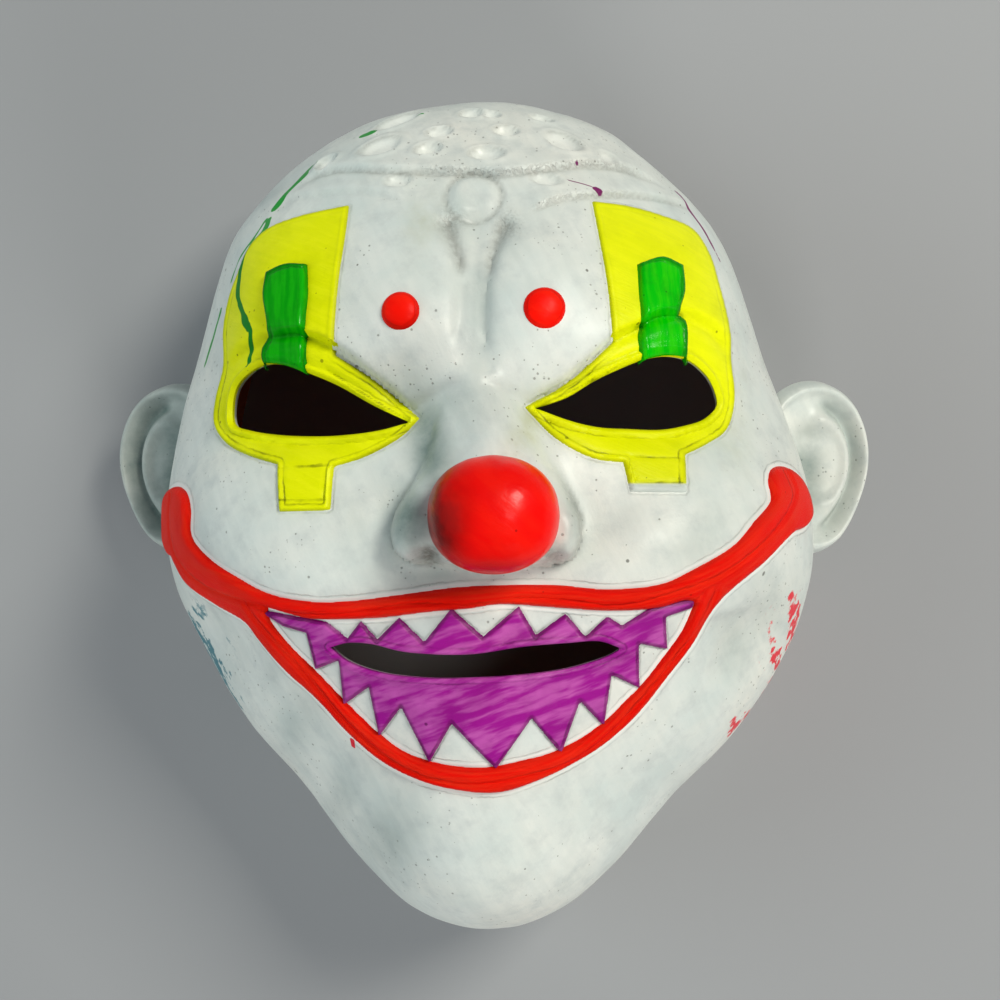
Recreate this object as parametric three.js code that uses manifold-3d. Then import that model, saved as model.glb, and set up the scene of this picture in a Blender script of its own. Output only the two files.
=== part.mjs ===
// A hollow clown mask that lies face up on its flat back rim.
// +Z comes out of the face and +Y points to the crown. Left is the -X side, as seen from the front.

import * as THREE from 'three';
import { mergeVertices } from 'three/addons/utils/BufferGeometryUtils.js';
import Module from 'manifold-3d';

const wasm = await Module();
wasm.setup();

// Driving dimensions, in millimetres
const maskLength = 236; // crown to chin
const maskWidth = 185; // across the cheeks, without the ears
const rimHeight = 35; // from the flat back rim up to the widest level
const domeRise = 75; // from the widest level up to the middle of the plain face
const rimInset = 5; // how far the rim lies inside the widest level
const wallThickness = 3;
const featureDepth = 10; // the brow, cheek and chin forms are shares of it
const noseRise = 18; // wings and bridge of the nose above the face
const noseWidth = 43; // across both wings
const noseLength = 56; // from the root between the eyes to the underside
const noseLean = 3.5; // how far the nose stands to the right of the middle
const noseBallWidth = 30.4;
const noseBallLength = 27;
const noseBallHeight = 27;
const noseBallLift = 15.5; // middle of the ball above the plain face
const noseBallLean = 2.2; // middle of the ball to the right of the nose
const earLength = 51;
const earWidth = 44;
const earReach = 22; // how far an ear stands out past the widest level
const earThickness = 11;
const earHeight = 27; // middle of an ear above the rim
const patchRise = 0.9; // yellow patches above the skin
const barRise = 2; // green bars above the patches
const lipRise = 1.8;
const panelRise = 1; // purple mouth panel above the skin
const dotRise = 1.6;
const leftDotWidth = 9;
const rightDotWidth = 9.8;
const seatGap = 0.3; // between a piece and what it sits on

const outerCells = 40; // grid cells across the outer skin
const innerCells = 30;
const curveSteps = 6; // points for each stretch of a curved outline
const shoulder = 0.86; // share of the grid that covers the dome, and the rest is the side wall
const spread = 1.15; // draws the grid cells towards the middle of the face
const tilt = THREE.MathUtils.degToRad(20); // an ear's outer edge lies lower by this

const halfLength = maskLength / 2;
const halfWidth = maskWidth / 2;

// The outline from crown to chin, up as a share of the half length, the others of the half width
const outline = [
  { up: 1, left: 0, right: 0 },
  { up: 0.975, left: 0.24, right: 0.215 },
  { up: 0.93, left: 0.395, right: 0.355 },
  { up: 0.87, left: 0.51, right: 0.46 },
  { up: 0.79, left: 0.622, right: 0.575 },
  { up: 0.69, left: 0.728, right: 0.69 },
  { up: 0.56, left: 0.812, right: 0.785 },
  { up: 0.4, left: 0.895, right: 0.87 },
  { up: 0.22, left: 0.965, right: 0.94 },
  { up: 0.05, left: 1, right: 0.985 },
  { up: -0.12, left: 0.998, right: 1 },
  { up: -0.3, left: 0.925, right: 0.95 },
  { up: -0.48, left: 0.785, right: 0.818 },
  { up: -0.64, left: 0.64, right: 0.665 },
  { up: -0.78, left: 0.48, right: 0.49 },
  { up: -0.88, left: 0.34, right: 0.345 },
  { up: -0.95, left: 0.225, right: 0.225 },
  { up: -0.985, left: 0.115, right: 0.115 },
  { up: -1, left: 0, right: 0 },
];

// Soft mounds and hollows. Middle and half sizes are shares of the half width and half length,
// the rise is a share of featureDepth and the turn is in degrees.
const pairedForms = [
  { x: 0.195, y: 0.44, wide: 0.184, tall: 0.186, rise: 0.6, turn: -8 }, // brow
  { x: 0.562, y: 0.49, wide: 0.195, tall: 0.186, rise: 0.3, turn: 20 }, // outer brow
  { x: 0.454, y: 0.22, wide: 0.26, tall: 0.076, rise: -0.8, turn: -8 }, // eye socket
  { x: 0.173, y: 0.229, wide: 0.086, tall: 0.068, rise: -0.4, turn: 0 }, // inner eye corner
  { x: 0.595, y: -0.05, wide: 0.27, tall: 0.161, rise: 0.9, turn: 20 }, // cheek
  { x: 0.368, y: -0.12, wide: 0.173, tall: 0.102, rise: 0.3, turn: -20 }, // cheek beside the nose
  { x: 0.757, y: -0.27, wide: 0.13, tall: 0.102, rise: -0.35, turn: 35 }, // beside the mouth corner
  { x: 0.8, y: 0.38, wide: 0.13, tall: 0.203, rise: -0.35, turn: 10 }, // temple
  { x: 0.54, y: -0.636, wide: 0.195, tall: 0.22, rise: -0.25, turn: 35 }, // flat of the jaw
];
const middleForms = [
  { x: 0, y: -0.78, wide: 0.28, tall: 0.17, rise: 0.95, turn: 0 }, // chin
  { x: 0, y: -0.29, wide: 0.5, tall: 0.17, rise: 0.5, turn: 0 }, // upper mouth
  { x: 0, y: -0.51, wide: 0.43, tall: 0.153, rise: 0.25, turn: 0 }, // lower mouth
  { x: 0, y: 0.525, wide: 0.05, tall: 0.2, rise: -0.3, turn: 0 }, // furrow between the brows
];

// Eye holes and the mouth slit, as shares of the half width and half length
const leftEye = [
  { x: -0.172, y: 0.192 }, { x: -0.266, y: 0.226 }, { x: -0.374, y: 0.273 }, { x: -0.458, y: 0.301 },
  { x: -0.521, y: 0.319 }, { x: -0.582, y: 0.323 }, { x: -0.636, y: 0.308 }, { x: -0.682, y: 0.279 },
  { x: -0.698, y: 0.238 }, { x: -0.69, y: 0.197 }, { x: -0.636, y: 0.182 }, { x: -0.551, y: 0.171 },
  { x: -0.461, y: 0.166 }, { x: -0.355, y: 0.166 }, { x: -0.25, y: 0.175 },
];
const rightEye = [
  { x: 0.16, y: 0.222 }, { x: 0.244, y: 0.244 }, { x: 0.316, y: 0.279 }, { x: 0.384, y: 0.305 },
  { x: 0.45, y: 0.326 }, { x: 0.51, y: 0.335 }, { x: 0.572, y: 0.329 }, { x: 0.61, y: 0.311 },
  { x: 0.635, y: 0.291 }, { x: 0.653, y: 0.264 }, { x: 0.659, y: 0.235 }, { x: 0.621, y: 0.205 },
  { x: 0.567, y: 0.19 }, { x: 0.5, y: 0.18 }, { x: 0.41, y: 0.18 }, { x: 0.328, y: 0.182 },
  { x: 0.256, y: 0.194 },
];
const mouthSlit = [
  { x: -0.381, y: -0.276 }, { x: -0.333, y: -0.264 }, { x: -0.264, y: -0.265 }, { x: -0.194, y: -0.277 },
  { x: -0.117, y: -0.282 }, { x: 0.003, y: -0.281 }, { x: 0.125, y: -0.267 }, { x: 0.248, y: -0.26 },
  { x: 0.333, y: -0.258 }, { x: 0.388, y: -0.275 }, { x: 0.351, y: -0.291 }, { x: 0.25, y: -0.314 },
  { x: 0.123, y: -0.326 }, { x: 0.003, y: -0.331 }, { x: -0.119, y: -0.333 }, { x: -0.25, y: -0.325 },
  { x: -0.339, y: -0.303 },
];

// Raised patches round the eyes, with a square top and a square tab below the eye
const leftPatch = [
  { x: -0.368, y: 0.678 }, { x: -0.366, y: 0.587 }, { x: -0.375, y: 0.461 }, { x: -0.379, y: 0.335 },
  { x: -0.261, y: 0.276 }, { x: -0.148, y: 0.2 }, { x: -0.189, y: 0.165 }, { x: -0.286, y: 0.122 },
  { x: -0.374, y: 0.101 }, { x: -0.378, y: 0.011 }, { x: -0.514, y: 0.008 }, { x: -0.532, y: 0.107 },
  { x: -0.635, y: 0.13 }, { x: -0.714, y: 0.158 }, { x: -0.765, y: 0.2 }, { x: -0.775, y: 0.26 },
  { x: -0.755, y: 0.337 }, { x: -0.785, y: 0.43 }, { x: -0.79, y: 0.523 }, { x: -0.767, y: 0.571 },
  { x: -0.71, y: 0.63 }, { x: -0.637, y: 0.656 }, { x: -0.538, y: 0.668 },
];
const rightPatch = [
  { x: 0.318, y: 0.68 }, { x: 0.338, y: 0.579 }, { x: 0.356, y: 0.485 }, { x: 0.37, y: 0.361 },
  { x: 0.259, y: 0.281 }, { x: 0.137, y: 0.223 }, { x: 0.214, y: 0.161 }, { x: 0.316, y: 0.118 },
  { x: 0.396, y: 0.11 }, { x: 0.413, y: 0.049 }, { x: 0.559, y: 0.048 }, { x: 0.562, y: 0.127 },
  { x: 0.632, y: 0.154 }, { x: 0.69, y: 0.186 }, { x: 0.716, y: 0.251 }, { x: 0.708, y: 0.336 },
  { x: 0.708, y: 0.397 }, { x: 0.696, y: 0.459 }, { x: 0.678, y: 0.519 }, { x: 0.657, y: 0.581 },
  { x: 0.61, y: 0.64 }, { x: 0.509, y: 0.664 }, { x: 0.416, y: 0.677 },
];
const leftBar = [
  { x: -0.596, y: 0.527 }, { x: -0.528, y: 0.541 }, { x: -0.468, y: 0.536 }, { x: -0.454, y: 0.469 },
  { x: -0.455, y: 0.412 }, { x: -0.457, y: 0.305 }, { x: -0.505, y: 0.319 }, { x: -0.58, y: 0.327 },
  { x: -0.587, y: 0.347 }, { x: -0.568, y: 0.384 }, { x: -0.589, y: 0.468 },
];
const rightBar = [
  { x: 0.434, y: 0.529 }, { x: 0.501, y: 0.549 }, { x: 0.562, y: 0.532 }, { x: 0.564, y: 0.472 },
  { x: 0.548, y: 0.423 }, { x: 0.565, y: 0.407 }, { x: 0.566, y: 0.343 }, { x: 0.447, y: 0.335 },
  { x: 0.433, y: 0.37 }, { x: 0.441, y: 0.405 }, { x: 0.437, y: 0.463 },
];

// Purple panel with its upper and lower rows of points
const mouthPanel = [
  { x: -0.586, y: -0.202 }, { x: -0.39, y: -0.223 }, { x: -0.333, y: -0.258 }, { x: -0.294, y: -0.221 },
  { x: -0.252, y: -0.259 }, { x: -0.191, y: -0.212 }, { x: -0.125, y: -0.262 }, { x: -0.053, y: -0.192 },
  { x: 0.029, y: -0.249 }, { x: 0.121, y: -0.188 }, { x: 0.165, y: -0.247 }, { x: 0.242, y: -0.203 },
  { x: 0.294, y: -0.251 }, { x: 0.351, y: -0.209 }, { x: 0.39, y: -0.229 }, { x: 0.462, y: -0.192 },
  { x: 0.581, y: -0.174 }, { x: 0.576, y: -0.192 }, { x: 0.504, y: -0.21 }, { x: 0.512, y: -0.281 },
  { x: 0.434, y: -0.265 }, { x: 0.439, y: -0.364 }, { x: 0.363, y: -0.331 }, { x: 0.344, y: -0.445 },
  { x: 0.28, y: -0.384 }, { x: 0.23, y: -0.501 }, { x: 0.153, y: -0.418 }, { x: 0.057, y: -0.528 },
  { x: -0.058, y: -0.428 }, { x: -0.122, y: -0.517 }, { x: -0.193, y: -0.396 }, { x: -0.26, y: -0.466 },
  { x: -0.28, y: -0.357 }, { x: -0.357, y: -0.402 }, { x: -0.361, y: -0.303 }, { x: -0.433, y: -0.327 },
  { x: -0.449, y: -0.247 }, { x: -0.515, y: -0.235 },
];

// Middle lines of the lips with their full width, all shares of the half width but y
const upperLip = [
  { x: -0.905, y: 0.045, wide: 0.05 }, { x: -0.905, y: -0.02, wide: 0.1 },
  { x: -0.875, y: -0.09, wide: 0.075 }, { x: -0.78, y: -0.148, wide: 0.07 },
  { x: -0.62, y: -0.18, wide: 0.07 }, { x: -0.44, y: -0.203, wide: 0.045 },
  { x: -0.31, y: -0.197, wide: 0.05 }, { x: -0.16, y: -0.184, wide: 0.055 },
  { x: 0.01, y: -0.176, wide: 0.058 }, { x: 0.13, y: -0.167, wide: 0.055 },
  { x: 0.25, y: -0.171, wide: 0.06 }, { x: 0.375, y: -0.178, wide: 0.06 },
  { x: 0.5, y: -0.162, wide: 0.062 }, { x: 0.62, y: -0.132, wide: 0.09 },
  { x: 0.74, y: -0.075, wide: 0.11 }, { x: 0.84, y: -0.01, wide: 0.12 },
  { x: 0.885, y: 0.045, wide: 0.13 }, { x: 0.86, y: 0.095, wide: 0.06 },
];
const lowerLip = [
  { x: -0.62, y: -0.185, wide: 0.06 }, { x: -0.545, y: -0.265, wide: 0.06 },
  { x: -0.45, y: -0.345, wide: 0.055 }, { x: -0.363, y: -0.43, wide: 0.06 },
  { x: -0.268, y: -0.494, wide: 0.06 }, { x: -0.18, y: -0.532, wide: 0.06 },
  { x: -0.09, y: -0.55, wide: 0.055 }, { x: 0.02, y: -0.556, wide: 0.06 },
  { x: 0.14, y: -0.545, wide: 0.05 }, { x: 0.24, y: -0.522, wide: 0.052 },
  { x: 0.34, y: -0.472, wide: 0.065 }, { x: 0.43, y: -0.4, wide: 0.07 },
  { x: 0.515, y: -0.322, wide: 0.072 }, { x: 0.585, y: -0.245, wide: 0.065 },
  { x: 0.63, y: -0.16, wide: 0.06 },
];

// The nose, in shares of its width, length and rise, and the blends in millimetres
const nose = {
  rootCrest: 0.15, // rise of the bridge at the root
  crestGain: 0.8, // what the bridge gains down to the tip
  crestCurve: 1.2,
  rootHalf: 0.16, // half width of the bridge at the root
  halfGain: 0.19,
  rootFade: 0.13, // the bridge runs out above the root over this length
  under: 0.25, // underside below the middle of the ball
  underFade: 0.18,
  wingPlace: 0.31, // middle of a wing to the middle of the nose
  wing: { wide: 0.25, tall: 0.22, rise: 0.75 },
  tip: { wide: 0.38, tall: 0.24, rise: 0.7 },
  hollow: { wide: 0.33, tall: 0.27, rise: 0.45, up: 0.15 },
  padCurve: 0.7,
  wingBlend: 3,
  tipBlend: 4,
};
const noseRoot = 0.64 * noseLength; // height of the root above the middle of the ball

const leftDot = { x: -0.192, y: 0.421 };
const rightDot = { x: 0.187, y: 0.426 };
const earPlace = 0.11; // middle of an ear up the half length

// The polar reach of the outline

function outlineReach() {
  const right = outline.map((row) => new THREE.Vector3(row.right * halfWidth, row.up * halfLength, 0));
  const left = outline.slice(1, -1).reverse();
  const back = left.map((row) => new THREE.Vector3(-row.left * halfWidth, row.up * halfLength, 0));
  const curve = new THREE.CatmullRomCurve3([...right, ...back], true);
  const points = curve.getPoints(outline.length * 2 * curveSteps);
  const polar = points.map((point) => ({
    angle: Math.atan2(point.y, point.x),
    radius: Math.hypot(point.x, point.y),
  }));
  return polar.sort((first, second) => first.angle - second.angle);
}

const reachTable = outlineReach();

function reach(angle) {
  const next = reachTable.findIndex((row) => row.angle > angle);
  if (next <= 0) {
    return reachTable[0].radius;
  }
  const low = reachTable[next - 1];
  const high = reachTable[next];
  const share = (angle - low.angle) / (high.angle - low.angle);
  return THREE.MathUtils.lerp(low.radius, high.radius, share);
}

// The relief of the face

function mound(x, y, form, side) {
  const turn = side * THREE.MathUtils.degToRad(form.turn);
  const dx = x - side * form.x * halfWidth;
  const dy = y - form.y * halfLength;
  const across = (dx * Math.cos(turn) + dy * Math.sin(turn)) / (form.wide * halfWidth);
  const along = (dy * Math.cos(turn) - dx * Math.sin(turn)) / (form.tall * halfLength);
  return form.rise * featureDepth * Math.exp(-across * across - along * along);
}

function softForms(x, y) {
  const paired = pairedForms.map((form) => mound(x, y, form, -1) + mound(x, y, form, 1));
  const middle = middleForms.map((form) => mound(x, y, form, 1));
  return [...paired, ...middle].reduce((sum, rise) => sum + rise, 0);
}

function smoothMax(first, second, blend) {
  const share = THREE.MathUtils.clamp(0.5 + (second - first) / (2 * blend), 0, 1);
  return THREE.MathUtils.lerp(first, second, share) + blend * share * (1 - share);
}

function nosePad(dx, dy, pad) {
  const across = dx / (pad.wide * noseWidth);
  const along = dy / (pad.tall * noseLength);
  return pad.rise * noseRise * Math.max(0, 1 - across * across - along * along) ** nose.padCurve;
}

function noseRelief(x, y) {
  const fall = THREE.MathUtils.clamp((noseRoot - y) / noseRoot, 0, 1);
  const dx = x - noseLean * Math.min(1, fall * 2);
  const crest = noseRise * (nose.rootCrest + nose.crestGain * fall ** nose.crestCurve);
  const halfBridge = noseWidth * (nose.rootHalf + nose.halfGain * fall);
  const aboveRoot = (y - noseRoot) / (nose.rootFade * noseLength);
  const aboveUnder = (y + nose.under * noseLength) / (nose.underFade * noseLength);
  const ends = THREE.MathUtils.clamp(1 - aboveRoot, 0, 1) * THREE.MathUtils.clamp(aboveUnder, 0, 1);
  const bridge = crest * Math.exp(-((dx / halfBridge) ** 2)) * ends;
  const leftWing = nosePad(dx + nose.wingPlace * noseWidth, y, nose.wing);
  const rightWing = nosePad(dx - nose.wingPlace * noseWidth, y, nose.wing);
  const tip = nosePad(dx, y, nose.tip);
  const sides = smoothMax(bridge, Math.max(leftWing, rightWing), nose.wingBlend);
  return smoothMax(sides, tip, nose.tipBlend);
}

// The inside follows the nose as one soft hollow
function noseHollow(x, y) {
  const across = (x - noseLean) / (nose.hollow.wide * noseWidth);
  const along = (y - nose.hollow.up * noseLength) / (nose.hollow.tall * noseLength);
  return nose.hollow.rise * noseRise * Math.exp(-across * across - along * along);
}

const outerRelief = (x, y) => softForms(x, y) + noseRelief(x, y);
const innerRelief = (x, y) => softForms(x, y) + noseHollow(x, y);

// A point of the skin, from two grid shares between -1 and 1

function skinPoint(a, b, relief, offset) {
  const across = a * Math.sqrt(1 - b * b / 2);
  const along = b * Math.sqrt(1 - a * a / 2);
  const radius = Math.hypot(across, along);
  const angle = Math.atan2(along, across);
  const edge = reach(angle);
  const bend = Math.min(radius / shoulder, 1) ** spread * Math.PI / 2;
  const down = THREE.MathUtils.clamp((radius - shoulder) / (1 - shoulder), 0, 1);
  const out = edge * Math.sin(bend) - rimInset * down ** 1.5;
  const point = new THREE.Vector3(out * Math.cos(angle), out * Math.sin(angle), 0);
  const rise = relief(point.x, point.y) * (1 - down) + offset;
  point.z = rimHeight * (1 - down) + domeRise * Math.cos(bend);
  const level = Math.sin(bend) / edge;
  const normal = new THREE.Vector3(
    Math.cos(angle) * level, Math.sin(angle) * level, Math.cos(bend) / domeRise,
  ).normalize();
  return point.addScaledVector(normal, rise);
}

function skinGrid(cells, relief, offset) {
  const points = [];
  for (let row = 0; row <= cells; row += 1) {
    for (let column = 0; column <= cells; column += 1) {
      points.push(skinPoint(2 * column / cells - 1, 2 * row / cells - 1, relief, offset));
    }
  }
  return points;
}

// Triangles of a grid. The diagonals point to the middle, so that no corner cell folds flat.
function gridFaces(cells, first) {
  const faces = [];
  for (let row = 0; row < cells; row += 1) {
    for (let column = 0; column < cells; column += 1) {
      const low = first + row * (cells + 1) + column;
      const high = low + cells + 1;
      const sameSide = (row < cells / 2) === (column < cells / 2);
      if (sameSide) {
        faces.push([low, low + 1, high + 1], [low, high + 1, high]);
      } else {
        faces.push([low, low + 1, high], [low + 1, high + 1, high]);
      }
    }
  }
  return faces;
}

function gridEdge(cells) {
  const width = cells + 1;
  const steps = [...Array(cells).keys()];
  return [
    ...steps,
    ...steps.map((step) => step * width + cells),
    ...steps.map((step) => cells * width + cells - step),
    ...steps.map((step) => (cells - step) * width),
  ];
}

function wallFaces(upper, lower) {
  return upper.flatMap((corner, index) => {
    const next = (index + 1) % upper.length;
    return [[corner, lower[index], lower[next]], [corner, lower[next], upper[next]]];
  });
}

function solidFrom(points, faces) {
  return new wasm.Manifold(new wasm.Mesh({
    numProp: 3,
    vertProperties: new Float32Array(points.flatMap((point) => point.toArray())),
    triVerts: new Uint32Array(faces.flat()),
  }));
}

// The skin as a closed solid, with a foot that reaches down by the given depth
function skinSolid(cells, relief, offset, foot) {
  const points = skinGrid(cells, relief, offset);
  const edge = gridEdge(cells);
  const ring = edge.map((corner, index) => points.length + index);
  const middle = points.length + edge.length;
  const footPoints = edge.map((corner) => points[corner].clone().setZ(-foot));
  const fan = ring.map((corner, index) => [corner, middle, ring[(index + 1) % ring.length]]);
  const faces = [...gridFaces(cells, 0), ...wallFaces(edge, ring), ...fan];
  return solidFrom([...points, ...footPoints, new THREE.Vector3(0, 0, -foot)], faces);
}

// A layer of even thickness over the whole outer skin
function skinLayer(from, to) {
  const points = [...skinGrid(outerCells, outerRelief, to), ...skinGrid(outerCells, outerRelief, from)];
  const half = points.length / 2;
  const edge = gridEdge(outerCells);
  const under = gridFaces(outerCells, half).map((face) => face.reverse());
  const sides = wallFaces(edge, edge.map((corner) => corner + half));
  return solidFrom(points, [...gridFaces(outerCells, 0), ...under, ...sides]);
}

// Upright prisms that cut pieces out of the skin, from the widest level up

const place = (row) => new THREE.Vector2(row.x * halfWidth, row.y * halfLength);

function geometrySolid(geometry) {
  const bare = new THREE.BufferGeometry();
  bare.setAttribute('position', geometry.attributes.position);
  bare.setIndex(geometry.index);
  const merged = mergeVertices(bare);
  return new wasm.Manifold(new wasm.Mesh({
    numProp: 3,
    vertProperties: new Float32Array(merged.attributes.position.array),
    triVerts: new Uint32Array(merged.index.array),
  }));
}

function prism(points) {
  const depth = 2 * domeRise;
  const upright = new THREE.ExtrudeGeometry(new THREE.Shape(points), { depth, bevelEnabled: false });
  upright.translate(0, 0, rimHeight);
  return geometrySolid(upright);
}

function roundPrism(middle, width) {
  const shape = new THREE.Shape();
  shape.absarc(middle.x * halfWidth, middle.y * halfLength, width / 2, 0, 2 * Math.PI);
  return prism(shape.getPoints(2 * curveSteps));
}

function ribbonPrism(rows, widen) {
  const knots = rows.map((row) => new THREE.Vector3(
    row.x * halfWidth, row.y * halfLength, row.wide * halfWidth / 2 + widen,
  ));
  const line = new THREE.CatmullRomCurve3(knots).getPoints(rows.length * curveSteps / 3);
  const sides = line.map((point, index) => {
    const before = line[Math.max(index - 1, 0)];
    const after = line[Math.min(index + 1, line.length - 1)];
    const across = new THREE.Vector2(before.y - after.y, after.x - before.x).normalize();
    const middle = new THREE.Vector2(point.x, point.y);
    return [
      middle.clone().addScaledVector(across, point.z),
      middle.clone().addScaledVector(across, -point.z),
    ];
  });
  const upper = sides.map((pair) => pair[0]);
  const lower = sides.map((pair) => pair[1]).reverse();
  return prism([...lower, ...upper].reverse());
}

function lipPrism(widen) {
  return ribbonPrism(upperLip, widen).add(ribbonPrism(lowerLip, widen));
}

const leftEyePrism = prism(leftEye.map(place));
const rightEyePrism = prism(rightEye.map(place));
const slitPrism = prism(mouthSlit.map(place));
const headSolid = skinSolid(outerCells, outerRelief, seatGap, wallThickness);

// Pieces

function maskShell() {
  const outer = skinSolid(outerCells, outerRelief, 0, wallThickness);
  const inner = skinSolid(innerCells, innerRelief, -wallThickness, 2 * wallThickness);
  const hollow = outer.subtract(inner).trimByPlane([0, 0, 1], 0);
  return hollow.subtract(leftEyePrism).subtract(rightEyePrism).subtract(slitPrism);
}

function noseBall() {
  const ball = new THREE.SphereGeometry(1, 4 * curveSteps, 2 * curveSteps);
  ball.scale(noseBallWidth / 2, noseBallLength / 2, noseBallHeight / 2);
  const lift = rimHeight + domeRise + noseBallLift;
  ball.translate(noseLean + noseBallLean, 0, lift);
  return geometrySolid(ball).subtract(headSolid);
}

// Front of an ear from its hollow over the rolled edge, and round to the middle of its back
const earProfile = [
  { out: 0, up: -0.2 }, { out: 0.35, up: -0.2 }, { out: 0.62, up: 0.05 }, { out: 0.8, up: 0.42 },
  { out: 0.94, up: 0.4 }, { out: 1, up: 0.1 }, { out: 0.93, up: -0.22 }, { out: 0.7, up: -0.5 },
  { out: 0, up: -0.6 },
];

function ear(side) {
  const profile = earProfile.map((row) => new THREE.Vector2(row.out, row.up)).reverse();
  const shape = new THREE.LatheGeometry(profile, 4 * curveSteps);
  shape.rotateX(Math.PI / 2);
  shape.scale(earWidth / 2, earLength / 2, earThickness);
  shape.rotateY(side * tilt);
  const height = earPlace * halfLength;
  const widest = reach(Math.atan2(height, side * halfWidth));
  shape.translate(side * (widest + earReach - earWidth / 2), height, earHeight);
  return geometrySolid(shape).subtract(headSolid);
}

const patchLayer = skinLayer(seatGap, seatGap + patchRise);
const barLayer = skinLayer(2 * seatGap + patchRise, 2 * seatGap + patchRise + barRise);
const lipLayer = skinLayer(seatGap, seatGap + lipRise);
const panelLayer = skinLayer(seatGap, seatGap + panelRise);
const dotLayer = skinLayer(seatGap, seatGap + dotRise);

const pieces = {
  mask_shell: { solid: maskShell(), look: { color: 0xdfe3df, roughness: 0.5 } },
  ear_left: { solid: ear(-1), look: { color: 0xdfe3df, roughness: 0.5 } },
  ear_right: { solid: ear(1), look: { color: 0xdfe3df, roughness: 0.5 } },
  nose_ball: { solid: noseBall(), look: { color: 0xe8210f, roughness: 0.3 } },
  eye_patch_left: {
    solid: patchLayer.intersect(prism(leftPatch.map(place))).subtract(leftEyePrism),
    look: { color: 0xdbe20a, roughness: 0.4 },
  },
  eye_patch_right: {
    solid: patchLayer.intersect(prism(rightPatch.map(place))).subtract(rightEyePrism),
    look: { color: 0xdbe20a, roughness: 0.4 },
  },
  brow_bar_left: {
    solid: barLayer.intersect(prism(leftBar.map(place))).subtract(leftEyePrism),
    look: { color: 0x0a9614, roughness: 0.3 },
  },
  brow_bar_right: {
    solid: barLayer.intersect(prism(rightBar.map(place))).subtract(rightEyePrism),
    look: { color: 0x0a9614, roughness: 0.3 },
  },
  lips: { solid: lipLayer.intersect(lipPrism(0)), look: { color: 0xee2a12, roughness: 0.4 } },
  mouth_panel: {
    solid: panelLayer.intersect(prism(mouthPanel.map(place)))
      .subtract(slitPrism)
      .subtract(lipPrism(seatGap)),
    look: { color: 0x8c1496, roughness: 0.4 },
  },
  brow_dot_left: {
    solid: dotLayer.intersect(roundPrism(leftDot, leftDotWidth)),
    look: { color: 0xee2a12, roughness: 0.35 },
  },
  brow_dot_right: {
    solid: dotLayer.intersect(roundPrism(rightDot, rightDotWidth)),
    look: { color: 0xee2a12, roughness: 0.35 },
  },
};

function pieceMesh(name, piece) {
  const source = piece.solid.getMesh();
  const geometry = new THREE.BufferGeometry();
  geometry.setAttribute('position', new THREE.BufferAttribute(new Float32Array(source.vertProperties), 3));
  geometry.setIndex(new THREE.BufferAttribute(new Uint32Array(source.triVerts), 1));
  geometry.computeVertexNormals();
  const mesh = new THREE.Mesh(geometry, new THREE.MeshStandardMaterial({ metalness: 0, ...piece.look }));
  mesh.name = name;
  return mesh;
}

// The middle of the whole footprint is the origin, on the plane of the rim

const mask = new THREE.Group();
Object.entries(pieces).forEach(([name, piece]) => mask.add(pieceMesh(name, piece)));
const box = new THREE.Box3().setFromObject(mask);
mask.position.set(-(box.min.x + box.max.x) / 2, -(box.min.y + box.max.y) / 2, -box.min.z);

export default mask;
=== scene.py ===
import math
import bpy
import numpy as np
from mathutils import Matrix, Vector


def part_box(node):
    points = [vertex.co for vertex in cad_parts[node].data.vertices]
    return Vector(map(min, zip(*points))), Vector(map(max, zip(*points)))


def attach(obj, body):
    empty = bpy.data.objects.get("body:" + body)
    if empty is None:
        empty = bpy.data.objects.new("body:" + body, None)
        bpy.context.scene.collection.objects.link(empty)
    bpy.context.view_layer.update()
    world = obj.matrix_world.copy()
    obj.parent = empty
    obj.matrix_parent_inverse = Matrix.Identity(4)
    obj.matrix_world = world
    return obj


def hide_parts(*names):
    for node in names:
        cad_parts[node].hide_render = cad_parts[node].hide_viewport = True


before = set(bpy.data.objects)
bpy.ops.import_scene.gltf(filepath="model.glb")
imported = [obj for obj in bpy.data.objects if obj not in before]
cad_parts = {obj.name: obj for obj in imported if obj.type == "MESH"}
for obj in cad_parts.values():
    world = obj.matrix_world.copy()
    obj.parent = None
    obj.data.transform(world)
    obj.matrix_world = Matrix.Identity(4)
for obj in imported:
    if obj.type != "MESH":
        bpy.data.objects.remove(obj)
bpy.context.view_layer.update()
bpy.ops.object.select_all(action="DESELECT")
print("frame loaded")

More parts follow.
